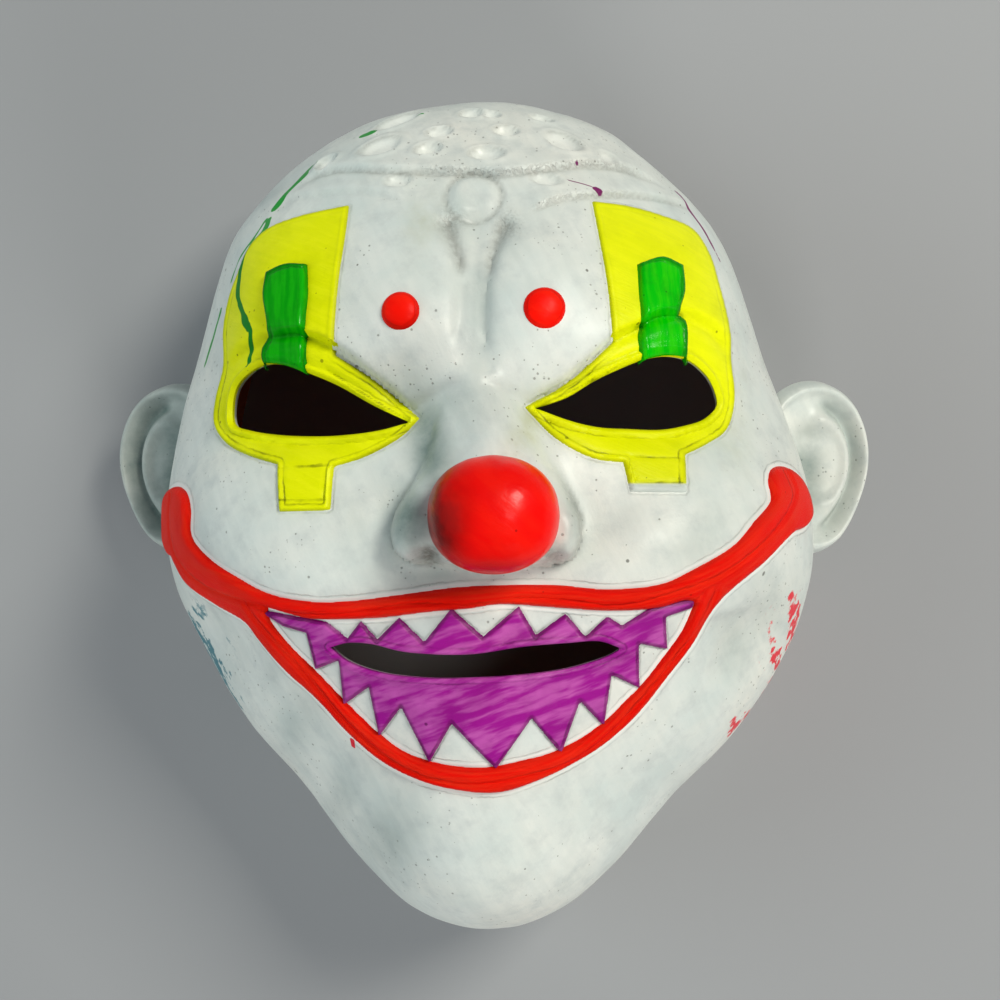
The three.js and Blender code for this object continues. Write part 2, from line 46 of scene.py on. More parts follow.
# The face is worked out in millimetres, with its middle at 0, 0 and the back rim at height 0
face = {
    "halfLength": 118, "halfWidth": 92.5, "rimHeight": 35, "domeRise": 75, "rimInset": 5,
    "wall": 3, "featureDepth": 10, "shoulder": 0.86, "spread": 1.15,
    "cells": 276, "innerCells": 100,
    "sunk": (0.9, 0.2, 1.7),  # depth of the skin under the painted sheets, and where it goes down
    # how closely the grid lines lie, over grid shares from side to side and from chin to crown
    "crowdAcross": [(-1, 0.75), (-0.6, 0.8), (-0.35, 1.3), (0.35, 1.3), (0.6, 0.8), (1, 0.75)],
    "crowdUp": [(-1, 0.6), (-0.2, 0.65), (-0.1, 1.25), (0.25, 1.3), (0.38, 1.2), (0.44, 2),
                (0.72, 2), (0.8, 1), (1, 0.9)],
    # up as a share of the half length, left and right as shares of the half width
    "outline": [
        (1.008, 0, 0), (0.975, 0.325, 0.24), (0.93, 0.462, 0.375), (0.87, 0.578, 0.476),
        (0.79, 0.69, 0.587), (0.69, 0.796, 0.698), (0.56, 0.867, 0.79), (0.4, 0.929, 0.872),
        (0.22, 0.98, 0.94), (0.05, 1, 0.985), (-0.12, 0.998, 1), (-0.3, 0.925, 0.95),
        (-0.48, 0.785, 0.818), (-0.64, 0.64, 0.665), (-0.78, 0.48, 0.49), (-0.88, 0.34, 0.345),
        (-0.95, 0.225, 0.225), (-0.985, 0.115, 0.115), (-1, 0, 0),
    ],
    # x, y, half width, half height, rise, turn of the soft forms
    "paired": [
        (0.195, 0.44, 0.184, 0.186, 0.6, -8), (0.562, 0.49, 0.195, 0.186, 0.3, 20),
        (0.454, 0.22, 0.26, 0.076, -0.8, -8), (0.173, 0.229, 0.086, 0.068, -0.4, 0),
        (0.595, -0.05, 0.27, 0.161, 0.9, 20), (0.368, -0.12, 0.173, 0.102, 0.3, -20),
        (0.757, -0.27, 0.13, 0.102, -0.35, 35), (0.8, 0.38, 0.13, 0.203, -0.35, 10),
        (0.54, -0.636, 0.195, 0.22, -0.25, 35),
    ],
    "middle": [
        (0, -0.78, 0.28, 0.17, 0.95, 0), (0, -0.29, 0.5, 0.17, 0.5, 0),
        (0, -0.51, 0.43, 0.153, 0.25, 0), (0, 0.525, 0.05, 0.2, -0.3, 0),
    ],
}


def ease(value, low, high):
    share = np.clip((value - low) / (high - low), 0, 1)
    return share * share * (3 - 2 * share)


def bell(across, along=0.0):
    return np.exp(-across ** 2 - along ** 2)


def smoothMax(first, second, blend):
    share = np.clip(0.5 + (second - first) / (2 * blend), 0, 1)
    return first + (second - first) * share + blend * share * (1 - share)


# Grid shares moved together where the rows ask for closer lines
def crowd(value, rows):
    places, weights = zip(*rows)
    fine = np.linspace(-1, 1, 801)
    weight = np.interp(fine, places, weights)
    total = np.concatenate([[0], np.cumsum(weight[1:] + weight[:-1])])
    return np.interp(value, total / total[-1] * 2 - 1, fine)


# Distances across and upward from a point, in axes turned by some degrees
def turnedPlan(x, y, px, py, turn):
    angle = math.radians(turn)
    dx, dy = x - px, y - py
    return dx * math.cos(angle) + dy * math.sin(angle), dy * math.cos(angle) - dx * math.sin(angle)


# One span of a curve that passes through all its points without loops
def curveSpan(corners, steps):
    p0, p1, p2, p3 = corners
    pairs = ((p0, p1), (p1, p2), (p2, p3))
    d0, d1, d2 = [max(np.sum((b - a) ** 2) ** 0.25, 1e-3) for a, b in pairs]
    t1 = ((p1 - p0) / d0 - (p2 - p0) / (d0 + d1) + (p2 - p1) / d1) * d1
    t2 = ((p2 - p1) / d1 - (p3 - p1) / (d1 + d2) + (p3 - p2) / d2) * d1
    s = np.linspace(0, 1, steps, endpoint=False)[:, None]
    square, cube = 3 * p2 - 3 * p1 - 2 * t1 - t2, 2 * p1 - 2 * p2 + t1 + t2
    return p1 + t1 * s + square * s ** 2 + cube * s ** 3


def smoothLoop(rows, steps=6):
    points = np.array(rows, float)
    around = np.vstack([points[-1], points, points[:2]])
    return np.vstack([curveSpan(around[i:i + 4], steps) for i in range(len(points))])


def smoothLine(rows, steps=6):
    points = np.array(rows, float)
    along = np.vstack([2 * points[0] - points[1], points, 2 * points[-1] - points[-2]])
    spans = [curveSpan(along[i:i + 4], steps) for i in range(len(points) - 1)]
    return np.vstack(spans + [points[-1:]])


# An outline whose listed rows are sharp corners, with smooth lines between them
def corneredLoop(rows, corners, steps=6):
    turns = sorted(corners)
    spans = []
    for first, last in zip(turns, turns[1:] + [turns[0] + len(rows)]):
        part = [rows[i % len(rows)] for i in range(first, last + 1)]
        spans.append(smoothLine(part, steps)[:-1])
    return np.vstack(spans)


def inMillimetres(rows):
    return [(x * face["halfWidth"], y * face["halfLength"]) for x, y in rows]


# Signed distance to a closed outline, positive outside, with the nearest point on it
def outlineGap(outline, x, y, far=10.0):
    gap = np.full(x.shape, far)
    nearX, nearY = x.copy(), y.copy()
    low, high = outline.min(0) - far, outline.max(0) + far
    near = (x > low[0]) & (x < high[0]) & (y > low[1]) & (y < high[1])
    px, py = x[near], y[near]
    best = np.full(px.shape, far * far)
    bestX, bestY = px.copy(), py.copy()
    inside = np.zeros(px.shape, bool)
    for (ax, ay), (bx, by) in zip(outline, np.roll(outline, -1, axis=0)):
        ex, ey = bx - ax, by - ay
        t = np.clip(((px - ax) * ex + (py - ay) * ey) / max(ex * ex + ey * ey, 1e-9), 0, 1)
        qx, qy = ax + t * ex, ay + t * ey
        square = (px - qx) ** 2 + (py - qy) ** 2
        closer = square < best
        best = np.where(closer, square, best)
        bestX = np.where(closer, qx, bestX)
        bestY = np.where(closer, qy, bestY)
        if ay != by:
            inside ^= ((ay > py) != (by > py)) & (px < ex * (py - ay) / ey + ax)
    gap[near] = np.where(inside, -np.sqrt(best), np.sqrt(best))
    nearX[near], nearY[near] = bestX, bestY
    return gap, nearX, nearY


# Distance to an open line, positive on its left, and how far along the nearest point is
def lineGap(line, x, y, far=14.0):
    gap = np.full(x.shape, far)
    along = np.zeros(x.shape)
    low, high = line.min(0) - far, line.max(0) + far
    near = (x > low[0]) & (x < high[0]) & (y > low[1]) & (y < high[1])
    px, py = x[near], y[near]
    best = np.full(px.shape, far * far)
    side = np.ones(px.shape)
    reached = np.zeros(px.shape)
    lengths = np.hypot(*np.diff(line, axis=0).T)
    start = 0.0
    for (ax, ay), (bx, by), length in zip(line[:-1], line[1:], lengths):
        ex, ey = bx - ax, by - ay
        t = np.clip(((px - ax) * ex + (py - ay) * ey) / max(length * length, 1e-9), 0, 1)
        square = (px - ax - t * ex) ** 2 + (py - ay - t * ey) ** 2
        closer = square < best
        best = np.where(closer, square, best)
        side = np.where(closer, np.where(ex * (py - ay) - ey * (px - ax) >= 0, 1.0, -1.0), side)
        reached = np.where(closer, start + t * length, reached)
        start += length
    gap[near] = side * np.sqrt(best)
    along[near] = reached / start
    return gap, along


lattice = np.random.default_rng(7).random((64, 64))


# Smooth unevenness between -1 and 1, with lumps of the given size
def lumps(x, y, size, shift=0.0):
    u, v = x / size + shift, y / size + 0.37 * shift
    iu, iv = np.floor(u).astype(int), np.floor(v).astype(int)
    fu, fv = ease(u - iu, 0, 1), ease(v - iv, 0, 1)
    rows = [lattice[(iu + i) % 64, (iv + j) % 64] for i, j in ((0, 0), (1, 0), (0, 1), (1, 1))]
    low = rows[0] + (rows[1] - rows[0]) * fu
    high = rows[2] + (rows[3] - rows[2]) * fu
    return 2 * (low + (high - low) * fv) - 1


# Eye holes and the mouth slit
holes = {
    "leftEye": [
        (-0.172, 0.192), (-0.266, 0.226), (-0.374, 0.273), (-0.458, 0.301), (-0.521, 0.319),
        (-0.582, 0.323), (-0.636, 0.308), (-0.682, 0.279), (-0.698, 0.238), (-0.69, 0.197),
        (-0.636, 0.182), (-0.551, 0.171), (-0.461, 0.166), (-0.355, 0.166), (-0.25, 0.175),
    ],
    "rightEye": [
        (0.16, 0.222), (0.244, 0.244), (0.316, 0.279), (0.384, 0.305), (0.45, 0.326), (0.51, 0.335),
        (0.572, 0.329), (0.61, 0.311), (0.635, 0.291), (0.653, 0.264), (0.659, 0.235),
        (0.621, 0.205), (0.567, 0.19), (0.5, 0.18), (0.41, 0.18), (0.328, 0.182), (0.256, 0.194),
    ],
    "mouthSlit": [
        (-0.381, -0.276), (-0.333, -0.264), (-0.264, -0.265), (-0.194, -0.277), (-0.117, -0.282),
        (0.003, -0.281), (0.125, -0.267), (0.248, -0.26), (0.333, -0.258), (0.388, -0.275),
        (0.351, -0.291), (0.25, -0.314), (0.123, -0.326), (0.003, -0.331), (-0.119, -0.333),
        (-0.25, -0.325), (-0.339, -0.303),
    ],
    "clear": 0.35,  # the hole in the shell is wider than the one in the paint by this
    "drop": 2.4,  # how far the painted edge reaches down into the hole
    "cutLow": 40.0, "cutTall": 120,  # start and height of the body that cuts a hole
}
leftEyeLine = corneredLoop(inMillimetres(holes["leftEye"]), [0], 5)
rightEyeLine = corneredLoop(inMillimetres(holes["rightEye"]), [0], 5)
slitLine = corneredLoop(inMillimetres(holes["mouthSlit"]), [0, 9], 5)


# A closed line moved outwards
def widened(line, distance):
    ahead, behind = np.roll(line, -1, axis=0), np.roll(line, 1, axis=0)
    across = np.stack([(ahead - behind)[:, 1], (behind - ahead)[:, 0]], axis=1)
    across /= np.linalg.norm(across, axis=1)[:, None]
    twist = np.sum(line[:, 0] * ahead[:, 1] - ahead[:, 0] * line[:, 1])
    return line + across * distance * (1 if twist > 0 else -1)


# The nose on the face
nose = {
    "root": 35.8, "lean": 3.5, "width": 43, "length": 56, "rise": 18,
    "blend": 2.5, "settle": 0.62,  # how the crest and the wings flow together and sit lower
    "nostrilDepth": 3.6, "nostrilWide": 2.6, "nostrilTall": 1.9,
    "outline": [
        (0.2, 34), (-6, 30), (-9, 22.5), (-10.8, 15), (-14.2, 8), (-17.8, 1.5), (-19, -4),
        (-17.9, -8.6), (-14.2, -11.2), (-9.5, -11.2), (-3, -12), (5, -12.4), (13, -12),
        (18.5, -11.8), (23, -10.6), (25.4, -7), (25.8, -1), (22, 7), (16.6, 15.4), (12.6, 22),
        (8.8, 29),
    ],
    "nostrils": [(-9.6, -9.0, 1.0), (19.4, -9.4, 0.6)],  # x, y, strength
}
noseLine = smoothLoop(nose["outline"], 5)

# Creases run from left to right. Their crown side stands over the other side. Each crease's
# darkening share paints a band of shade just under its line, with some dirt in it.
lidFold = {
    "depth": 2.2, "wide": 2.8, "over": 1.3, "rough": 0.1, "band": 1.2, "blur": 1.0, "aside": 1.5,
}
rootFold = {
    "depth": 0.8, "wide": 2.6, "over": 0.8, "rough": 0, "soilAndShade": 0.0, "band": 0.8, "blur": 2.4,
    "aside": 0,
}
creases = {
    "leftFold": {**lidFold, "soilAndShade": 0.3, "line": [
        (-66, 36.6), (-61.3, 40.9), (-56, 42.7), (-51, 43.6), (-41.9, 43.5), (-34.8, 40.2),
        (-26.8, 33.9), (-18.1, 26.9), (-13.8, 23.4)]},
    "rightFold": {**lidFold, "soilAndShade": 0.22, "line": [
        (12.8, 26.6), (21, 30.6), (28.2, 36.4), (34.4, 42), (40.6, 45.5), (45.7, 48.1),
        (51.5, 48.7), (56.4, 48.1), (60.5, 45.6), (64, 39)]},
    "leftRootFold": {**rootFold, "line": [
        (-16.9, 24.8), (-13.7, 27.7), (-7.7, 30.9), (-1.5, 33.6)]},
    "rightRootFold": {**rootFold, "line": [
        (2.4, 33.4), (6.4, 31.4), (13.3, 28.3), (17.4, 25.6)]},
    "capEdge": {
        "depth": 0.9, "wide": 0.8, "over": 1.5, "rough": 0.08, "soilAndShade": 0.55, "band": 0.75,
        "blur": 1.6, "aside": 0, "line": [
            (-52.3, 85.8), (-46, 90), (-39.4, 91.4), (-23.6, 89.4), (-13.1, 88.5), (0.2, 87.9),
            (3.9, 87.5), (15.4, 88.9), (26.8, 91.4), (37.3, 92), (42.3, 91), (50, 88.4)]},
    "leftBand": {
        "depth": 0.4, "wide": 1.2, "over": 0.9, "rough": 0.05, "soilAndShade": 0.12, "band": 0.7,
        "blur": 1.0, "aside": 0, "line": [
            (-58.3, 79.7), (-53.4, 84.3), (-46, 84.4), (-36.6, 84.4), (-28, 83.3), (-18.2, 80)]},
    "rightBand": {
        "depth": 0.5, "wide": 0.9, "over": 1.2, "rough": 0.1, "soilAndShade": 0.5, "band": 0.6,
        "blur": 1.0, "aside": 0, "line": [
            (12.7, 76), (20.2, 80), (28.1, 81.9), (40.7, 83.7), (50, 84), (58.7, 83.2)]},
}
steepSide = {"from": 44, "to": 58, "blur": 1.7, "fade": 0.35}  # creases soften on the steep sides

# Grooves go from the first width to the thin one. Their darkening share is dirt caught in the
# groove, with painted shade.
grooves = {
    "leftV": {"depth": 1.9, "wide": 2.4, "thin": 0.9, "soilAndShade": 0.6, "line": [
        (-8.6, 76), (-6.4, 70.5), (-4.4, 64.5), (-3.2, 58)]},
    "rightV": {"depth": 1.9, "wide": 2.4, "thin": 0.9, "soilAndShade": 0.6, "line": [
        (8.6, 75.6), (6, 70.3), (4.2, 64), (3.2, 57)]},
    "leftStem": {"depth": 0.9, "wide": 1.1, "thin": 1.4, "soilAndShade": 0.05, "line": [
        (-3.2, 60), (-3.4, 50), (-4.2, 40)]},
    "rightStem": {"depth": 1.2, "wide": 1.1, "thin": 1.4, "soilAndShade": 0.1, "line": [
        (3.2, 60), (2.6, 50), (3.4, 38)]},
    "leftJaw": {"depth": 1.1, "wide": 5, "thin": 6, "soilAndShade": 0.0, "line": [
        (-62, -30), (-56, -46), (-48, -60)]},
    "leftJawLow": {"depth": 0.9, "wide": 4, "thin": 5, "soilAndShade": 0.0, "line": [
        (-49, -42), (-43, -56), (-36, -70)]},
    "rightCorner": {"depth": 1.6, "wide": 7, "thin": 4, "soilAndShade": 0.1, "line": [
        (64, -24), (65, -34), (61, -46)]},
}
creaseLines = {name: smoothLine(form["line"]) for name, form in {**creases, **grooves}.items()}

forehead = {
    # x, y, width, height, turn and strength of the round dents
    "dents": [
        (-3.4, 109.5, 6.6, 3.6, 0, 1.0), (1.9, 109, 5.6, 3.0, -10, 0.8), (1.8, 94, 9.4, 5.2, 0, 1),
        (-24.2, 108.4, 12.6, 4.4, 26, 0.9), (-27.4, 98.1, 11.8, 6.4, 26, 1),
        (-13.9, 96.1, 7.2, 4.8, 5, 1.1), (-11.6, 102.3, 7.2, 3.8, 4, 1),
        (6.4, 102.4, 7, 3.8, -8, 1), (21.7, 99.1, 11.4, 5.8, -30, 1),
        (-21, 86.2, 7.2, 4.4, 10, 0.9), (17.2, 86.2, 8.4, 4.4, -14, 0.9),
        (-41.9, 94.1, 6.8, 4.2, 44, 1), (15.7, 108.1, 6.6, 2.6, -14, 0.9),
        (33.4, 94.6, 6, 4, -40, 0.6),
    ],
    # the last value darkens the upper rim of each dent: painted shade
    "dentDepth": 1.6, "dentLip": 0.28, "dentShade": 0.42,
    "button": (-1.0, 81.0, 6.6, 1.9),  # x, y, radius and rise of the raised round in the middle
}
# A low ridge round each opening: line and rise
openingLips = [(leftEyeLine, 0.5), (rightEyeLine, 0.5), (slitLine, 0.7)]


# The large soft forms: brows, cheeks, chin and the hollows between them
def softForms(x, y):
    total = np.zeros(x.shape)
    for rows, sides in ((face["paired"], (-1, 1)), (face["middle"], (1,))):
        for (fx, fy, wide, tall, rise, turn) in rows:
            halfWide, halfTall = wide * face["halfWidth"], tall * face["halfLength"]
            for side in sides:
                across, along = turnedPlan(x, y, side * fx * face["halfWidth"],
                                           fy * face["halfLength"], side * turn)
                total += rise * face["featureDepth"] * bell(across / halfWide, along / halfTall)
    return total


# Rise of the nose, and its darkening: painted shade under the nose and in the nostrils
def noseShape(x, y):
    gap, _, _ = outlineGap(noseLine, x, y)
    fall = np.clip((nose["root"] - y) / nose["root"], 0, 1)
    share = np.clip(-gap / (9 - 3.2 * fall), 0, 1)
    flank = (1.5 + 10.5 * fall ** 1.25) * np.sqrt(1 - (1 - share) ** 2)
    dx = x - nose["lean"] * np.minimum(1, fall * 2)
    crest = nose["rise"] * (0.15 + 0.8 * fall ** 1.2)
    half = nose["width"] * (0.15 + 0.17 * fall)
    above = (y - nose["root"]) / (0.13 * nose["length"])
    under = (y + 0.25 * nose["length"]) / (0.18 * nose["length"])
    ends = np.clip(1 - above, 0, 1) * np.clip(under, 0, 1)
    rise = smoothMax(crest * bell(dx / half) * ends, flank, nose["blend"]) - nose["settle"]
    rise *= ease(-gap, -4.5, 0.5)
    # Painted shade along the underside of the nose and in the nostrils
    soilAndShade = 0.55 * bell((gap - 0.2) / 0.9) * ease(-y, -13, -3)
    for (px, py, strength) in nose["nostrils"]:
        square = ((x - px) / nose["nostrilWide"]) ** 2 + ((y - py) / nose["nostrilTall"]) ** 2
        rise -= nose["nostrilDepth"] * strength * np.exp(-square)
        soilAndShade += 1.3 * strength * np.exp(-square * 0.8)
    return rise, soilAndShade


# Strength of each round dent, distance from its middle as a share of its radius, and share upwards
def dentFields(x, y):
    for (px, py, wide, tall, turn, strength) in forehead["dents"]:
        across, upward = turnedPlan(x, y, px, py, turn)
        across, upward = 2 * across / wide, 2 * upward / tall
        yield strength, np.hypot(across, upward), upward


# Everything that is modelled on top of the soft forms: rise in millimetres, and dirt with painted
# shade in creases, grooves, dents and nostrils, full at 1
def faceDetail(x, y):
    rise, soilAndShade = noseShape(x, y)
    for name, crease in creases.items():
        gap, along = lineGap(creaseLines[name], x, y)
        gap = gap - crease["aside"] + crease["rough"] * lumps(x, y, 2.4, 3)
        fade = ease(along, 0, 0.12) * ease(1 - along, 0, 0.12)
        steep = ease(np.abs(x), steepSide["from"], steepSide["to"])
        blur = crease["blur"] + steepSide["blur"] * steep
        fade = fade * (1 - steepSide["fade"] * steep)
        below = bell(np.minimum(gap, 0) / crease["wide"]) * ease(-gap, -0.5 * blur, 0.7 * blur)
        over = bell(np.maximum(gap, 0) / 6) * ease(gap, -0.5 * blur, 0.7 * blur)
        rise += fade * (crease["over"] * over - crease["depth"] * below)
        # A band of painted shade just under each crease, with some dirt
        soilAndShade += fade * crease["soilAndShade"] * bell((gap + 0.4) / crease["band"])
    for name, groove in grooves.items():
        gap, along = lineGap(creaseLines[name], x, y)
        fade = ease(along, 0, 0.15) * ease(1 - along, 0, 0.25)
        wide = groove["wide"] + (groove["thin"] - groove["wide"]) * along
        notch = fade * bell(gap / wide)
        rise -= groove["depth"] * notch
        soilAndShade += groove["soilAndShade"] * notch
    for strength, around, upward in dentFields(x, y):
        bowl = 1 - ease(around, 0.45, 1.05)
        lip = bell((around - 1.2) / 0.2)
        rise += strength * forehead["dentDepth"] * (forehead["dentLip"] * lip - bowl)
        # Painted shade along the upper rim of each dent, the side turned away from the light
        rimShade = forehead["dentShade"] * strength
        soilAndShade += rimShade * bell((around - 1.0) / 0.14) * ease(upward, -0.5, 0.6)
    px, py, radius, lift = forehead["button"]
    around = np.hypot(x - px, y - py) / radius
    ring = 0.5 * bell((around - 1.1) / 0.1)
    rise += lift * (1 - ease(around, 0.6, 1.05)) * (1 - 0.3 * around ** 2) - ring
    soilAndShade += ring
    for line, lipRise in openingLips:
        gap, _, _ = outlineGap(line, x, y)
        rise += lipRise * bell((gap - 0.9) / 1.1)
    rise += 0.16 * lumps(x, y, 11, 1) + 0.07 * lumps(x, y, 4.5, 5)
    return rise, np.clip(soilAndShade, 0, 1.3)


rows = face["outline"]
rightSide = [(right * face["halfWidth"], up * face["halfLength"]) for up, left, right in rows]
leftSide = [(-left * face["halfWidth"], up * face["halfLength"])
            for up, left, right in rows[-2:0:-1]]
reachPoints = smoothLoop(rightSide + leftSide, 30)
reachAngle = np.arctan2(reachPoints[:, 1], reachPoints[:, 0])
reachRadius = np.hypot(reachPoints[:, 0], reachPoints[:, 1])


def reach(angle):
    return np.interp(angle, reachAngle[np.argsort(reachAngle)], reachRadius[np.argsort(reachAngle)],
                     period=2 * math.pi)


def domeNormal(angle, level, edge):
    flat = level / edge
    normal = np.stack([np.cos(angle) * flat, np.sin(angle) * flat,
                       np.sqrt(1 - level ** 2) / face["domeRise"]], axis=1)
    return normal / np.linalg.norm(normal, axis=1)[:, None]


# Base point, normal and share down the side wall, from grid shares between -1 and 1
def gridBase(a, b):
    across, along = a * np.sqrt(1 - b * b / 2), b * np.sqrt(1 - a * a / 2)
    radius, angle = np.hypot(across, along), np.arctan2(along, across)
    edge = reach(angle)
    bend = np.minimum(radius / face["shoulder"], 1) ** face["spread"] * math.pi / 2
    down = np.clip((radius - face["shoulder"]) / (1 - face["shoulder"]), 0, 1)
    out = edge * np.sin(bend) - face["rimInset"] * down ** 1.5
    height = face["rimHeight"] * (1 - down) + face["domeRise"] * np.cos(bend)
    point = np.stack([out * np.cos(angle), out * np.sin(angle), height], axis=1)
    return point, domeNormal(angle, np.sin(bend), edge), down


# The same over a point of the plan
def planBase(x, y):
    angle = np.arctan2(y, x)
    edge = reach(angle)
    level = np.clip(np.hypot(x, y) / edge, 0, 0.9995)
    height = face["rimHeight"] + face["domeRise"] * np.sqrt(1 - level ** 2)
    return np.stack([x, y, height], axis=1), domeNormal(angle, level, edge)


def outerSkin(base, normal, down, offset):
    point = base + normal * (softForms(base[:, 0], base[:, 1]) * (1 - down))[:, None]
    rise, _ = faceDetail(point[:, 0], point[:, 1])
    return point + normal * (rise * (1 - down) + offset)[:, None]


def innerSkin(base, normal, down, offset):
    x, y = base[:, 0], base[:, 1]
    across = (x - nose["lean"]) / (0.33 * nose["width"])
    along = (y - 0.15 * nose["length"]) / (0.27 * nose["length"])
    hollow = 0.45 * nose["rise"] * bell(across, along)
    uneven = 0.25 * lumps(x, y, 9, 2)
    return base + normal * ((softForms(x, y) + hollow + uneven) * (1 - down) + offset)[:, None]


# Skin point and normal straight over a point of the plan
def skinOver(x, y, detailed=True):
    bx, by = x.copy(), y.copy()
    for step in range(6):
        base, normal = planBase(bx, by)
        if step < 3 or not detailed:
            point = base + normal * softForms(bx, by)[:, None]
        else:
            point = outerSkin(base, normal, 0, np.zeros(x.shape))
        bx += x - point[:, 0]
        by += y - point[:, 1]
    return point, normal


# Shift from the face's own middle to the part's origin, from the two brow dots
dotLow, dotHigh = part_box("brow_dot_left")
shift = np.array([(dotLow.x + dotHigh.x) * 500 + 0.192 * face["halfWidth"],
                  (dotLow.y + dotHigh.y) * 500 - 0.421 * face["halfLength"], 0.0])


def readPoints(piece):
    points = np.empty(len(piece.data.vertices) * 3)
    piece.data.vertices.foreach_get("co", points)
    return points.reshape(-1, 3)


# Face millimetres to metres round the part's origin
def writePoints(piece, points):
    piece.data.vertices.foreach_set("co", ((points + shift) / 1000).ravel())
    piece.data.update()


def facePlan(piece):
    points = readPoints(piece) * 1000 - shift
    return points[:, 0], points[:, 1], points[:, 2]


farAway = 9.0  # stands for the distance to an outline that isn't near


# A value per point that the paints read
def mark(piece, name, values):
    layer = piece.data.attributes.new(name, "FLOAT", "POINT")
    layer.data.foreach_set("value", np.asarray(values, np.float32))


def pickOnly(piece):
    bpy.ops.object.select_all(action="DESELECT")
    piece.select_set(True)
    bpy.context.view_layer.objects.active = piece


def flatGrid(name, across, along):
    bpy.ops.mesh.primitive_grid_add(x_subdivisions=across, y_subdivisions=along, size=2)
    piece = bpy.context.object
    piece.name = name
    return piece


# One edit mode operator over the whole piece
def editAll(piece, operator):
    pickOnly(piece)
    bpy.ops.object.mode_set(mode="EDIT")
    bpy.ops.mesh.select_all(action="SELECT")
    operator()
    bpy.ops.object.mode_set(mode="OBJECT")


# Deletes the faces that the list of truths names
def deleteFaces(piece, doomed):
    pickOnly(piece)
    bpy.context.tool_settings.mesh_select_mode = (False, False, True)
    bpy.ops.object.mode_set(mode="EDIT")
    bpy.ops.mesh.select_all(action="DESELECT")
    bpy.ops.object.mode_set(mode="OBJECT")
    piece.data.polygons.foreach_set("select", doomed)
    bpy.ops.object.mode_set(mode="EDIT")
    bpy.ops.mesh.delete(type="FACE")
    bpy.ops.object.mode_set(mode="OBJECT")


# A modifier that is set and applied at once
def applied(piece, kind, **settings):
    pickOnly(piece)
    modifier = piece.modifiers.new(kind.title(), kind)
    for name, value in settings.items():
        setattr(modifier, name, value)
    bpy.ops.object.modifier_apply(modifier=modifier.name)


def finishPiece(piece, nodes, angle=50):
    pickOnly(piece)
    bpy.ops.object.shade_smooth_by_angle(angle=math.radians(angle))
    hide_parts(*nodes)
    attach(piece, "root")
    print(piece.name, len(piece.data.polygons), "faces")


# Shader building

def linearColour(red, green, blue):
    parts = [part / 255 for part in (red, green, blue)]
    linear = [part / 12.92 if part <= 0.04045 else ((part + 0.055) / 1.055) ** 2.4
              for part in parts]
    return (*linear, 1.0)


# A node with its settings, and its inputs linked or set
def node(tree, kind, inputs=(), **settings):
    made = tree.nodes.new(kind)
    for name, value in settings.items():
        setattr(made, name, value)
    for key, value in dict(inputs).items():
        if isinstance(value, bpy.types.NodeSocket):
            tree.links.new(value, made.inputs[key])
        else:
            made.inputs[key].default_value = value
    return made


def maths(tree, operation, first, second=0.0, third=0.0, clamp=False):
    inputs = {0: first, 1: second, 2: third}
    return node(tree, "ShaderNodeMath", inputs, operation=operation, use_clamp=clamp).outputs[0]


def times(tree, first, second, clamp=False):
    return maths(tree, "MULTIPLY", first, second, clamp=clamp)


def vectorMaths(tree, operation, first, second):
    return node(tree, "ShaderNodeVectorMath", {0: first, 1: second}, operation=operation).outputs[0]


# Rises softly from 0 at low to 1 at high
def between(tree, value, low, high):
    inputs = {0: value, 1: low, 2: high}
    return node(tree, "ShaderNodeMapRange", inputs, interpolation_type="SMOOTHSTEP").outputs[0]


def blend(tree, share, first, second, kind="MIX"):
    inputs = {0: share, 6: first, 7: second}
    return node(tree, "ShaderNodeMix", inputs, data_type="RGBA", blend_type=kind).outputs[2]


# A colour with a share of another one over it where the mask says
def dyed(tree, colour, mask, share, other):
    return blend(tree, times(tree, mask, share), colour, other)


def noiseValue(tree, vector, scale, detail, roughness=0.5):
    inputs = {"Vector": vector, "Scale": scale, "Detail": detail, "Roughness": roughness}
    return node(tree, "ShaderNodeTexNoise", inputs).outputs[0]


def newEffect(name, inputs, outputs):
    tree = bpy.data.node_groups.new(name, "ShaderNodeTree")
    for label, kind, value in inputs:
        socket = tree.interface.new_socket(name=label, in_out="INPUT",
                                           socket_type="NodeSocket" + kind)
        if value is not None:
            socket.default_value = value
    for label, kind in outputs:
        tree.interface.new_socket(name=label, in_out="OUTPUT", socket_type="NodeSocket" + kind)
    return tree, node(tree, "NodeGroupInput").outputs, node(tree, "NodeGroupOutput").inputs


# Long soft marks of a brush, lighter and darker, along x of the given coordinates
def makeBrushMarks():
    tree, given, put = newEffect("brush marks", [
        ("Vector", "Vector", None), ("Length", "Float", 60.0), ("Width", "Float", 900.0),
        ("Turn", "Float", 0.0)], [("Mask", "Float"), ("Fine", "Float")])
    turned = node(tree, "ShaderNodeVectorRotate",
                  {"Vector": given["Vector"], "Angle": given["Turn"]},
                  rotation_type="Z_AXIS").outputs[0]
    stretch = node(tree, "ShaderNodeCombineXYZ",
                   {0: given["Length"], 1: given["Width"], 2: given["Length"]}).outputs[0]
    scaled = vectorMaths(tree, "MULTIPLY", turned, stretch)
    wander = node(tree, "ShaderNodeTexNoise",
                  {"Vector": turned, "Scale": 90.0, "Detail": 2.0}).outputs["Color"]
    warped = vectorMaths(tree, "ADD", scaled, wander)
    tree.links.new(between(tree, noiseValue(tree, warped, 1.0, 3.0), 0.38, 0.64), put["Mask"])
    tree.links.new(noiseValue(tree, warped, 3.1, 4.0), put["Fine"])
    return tree


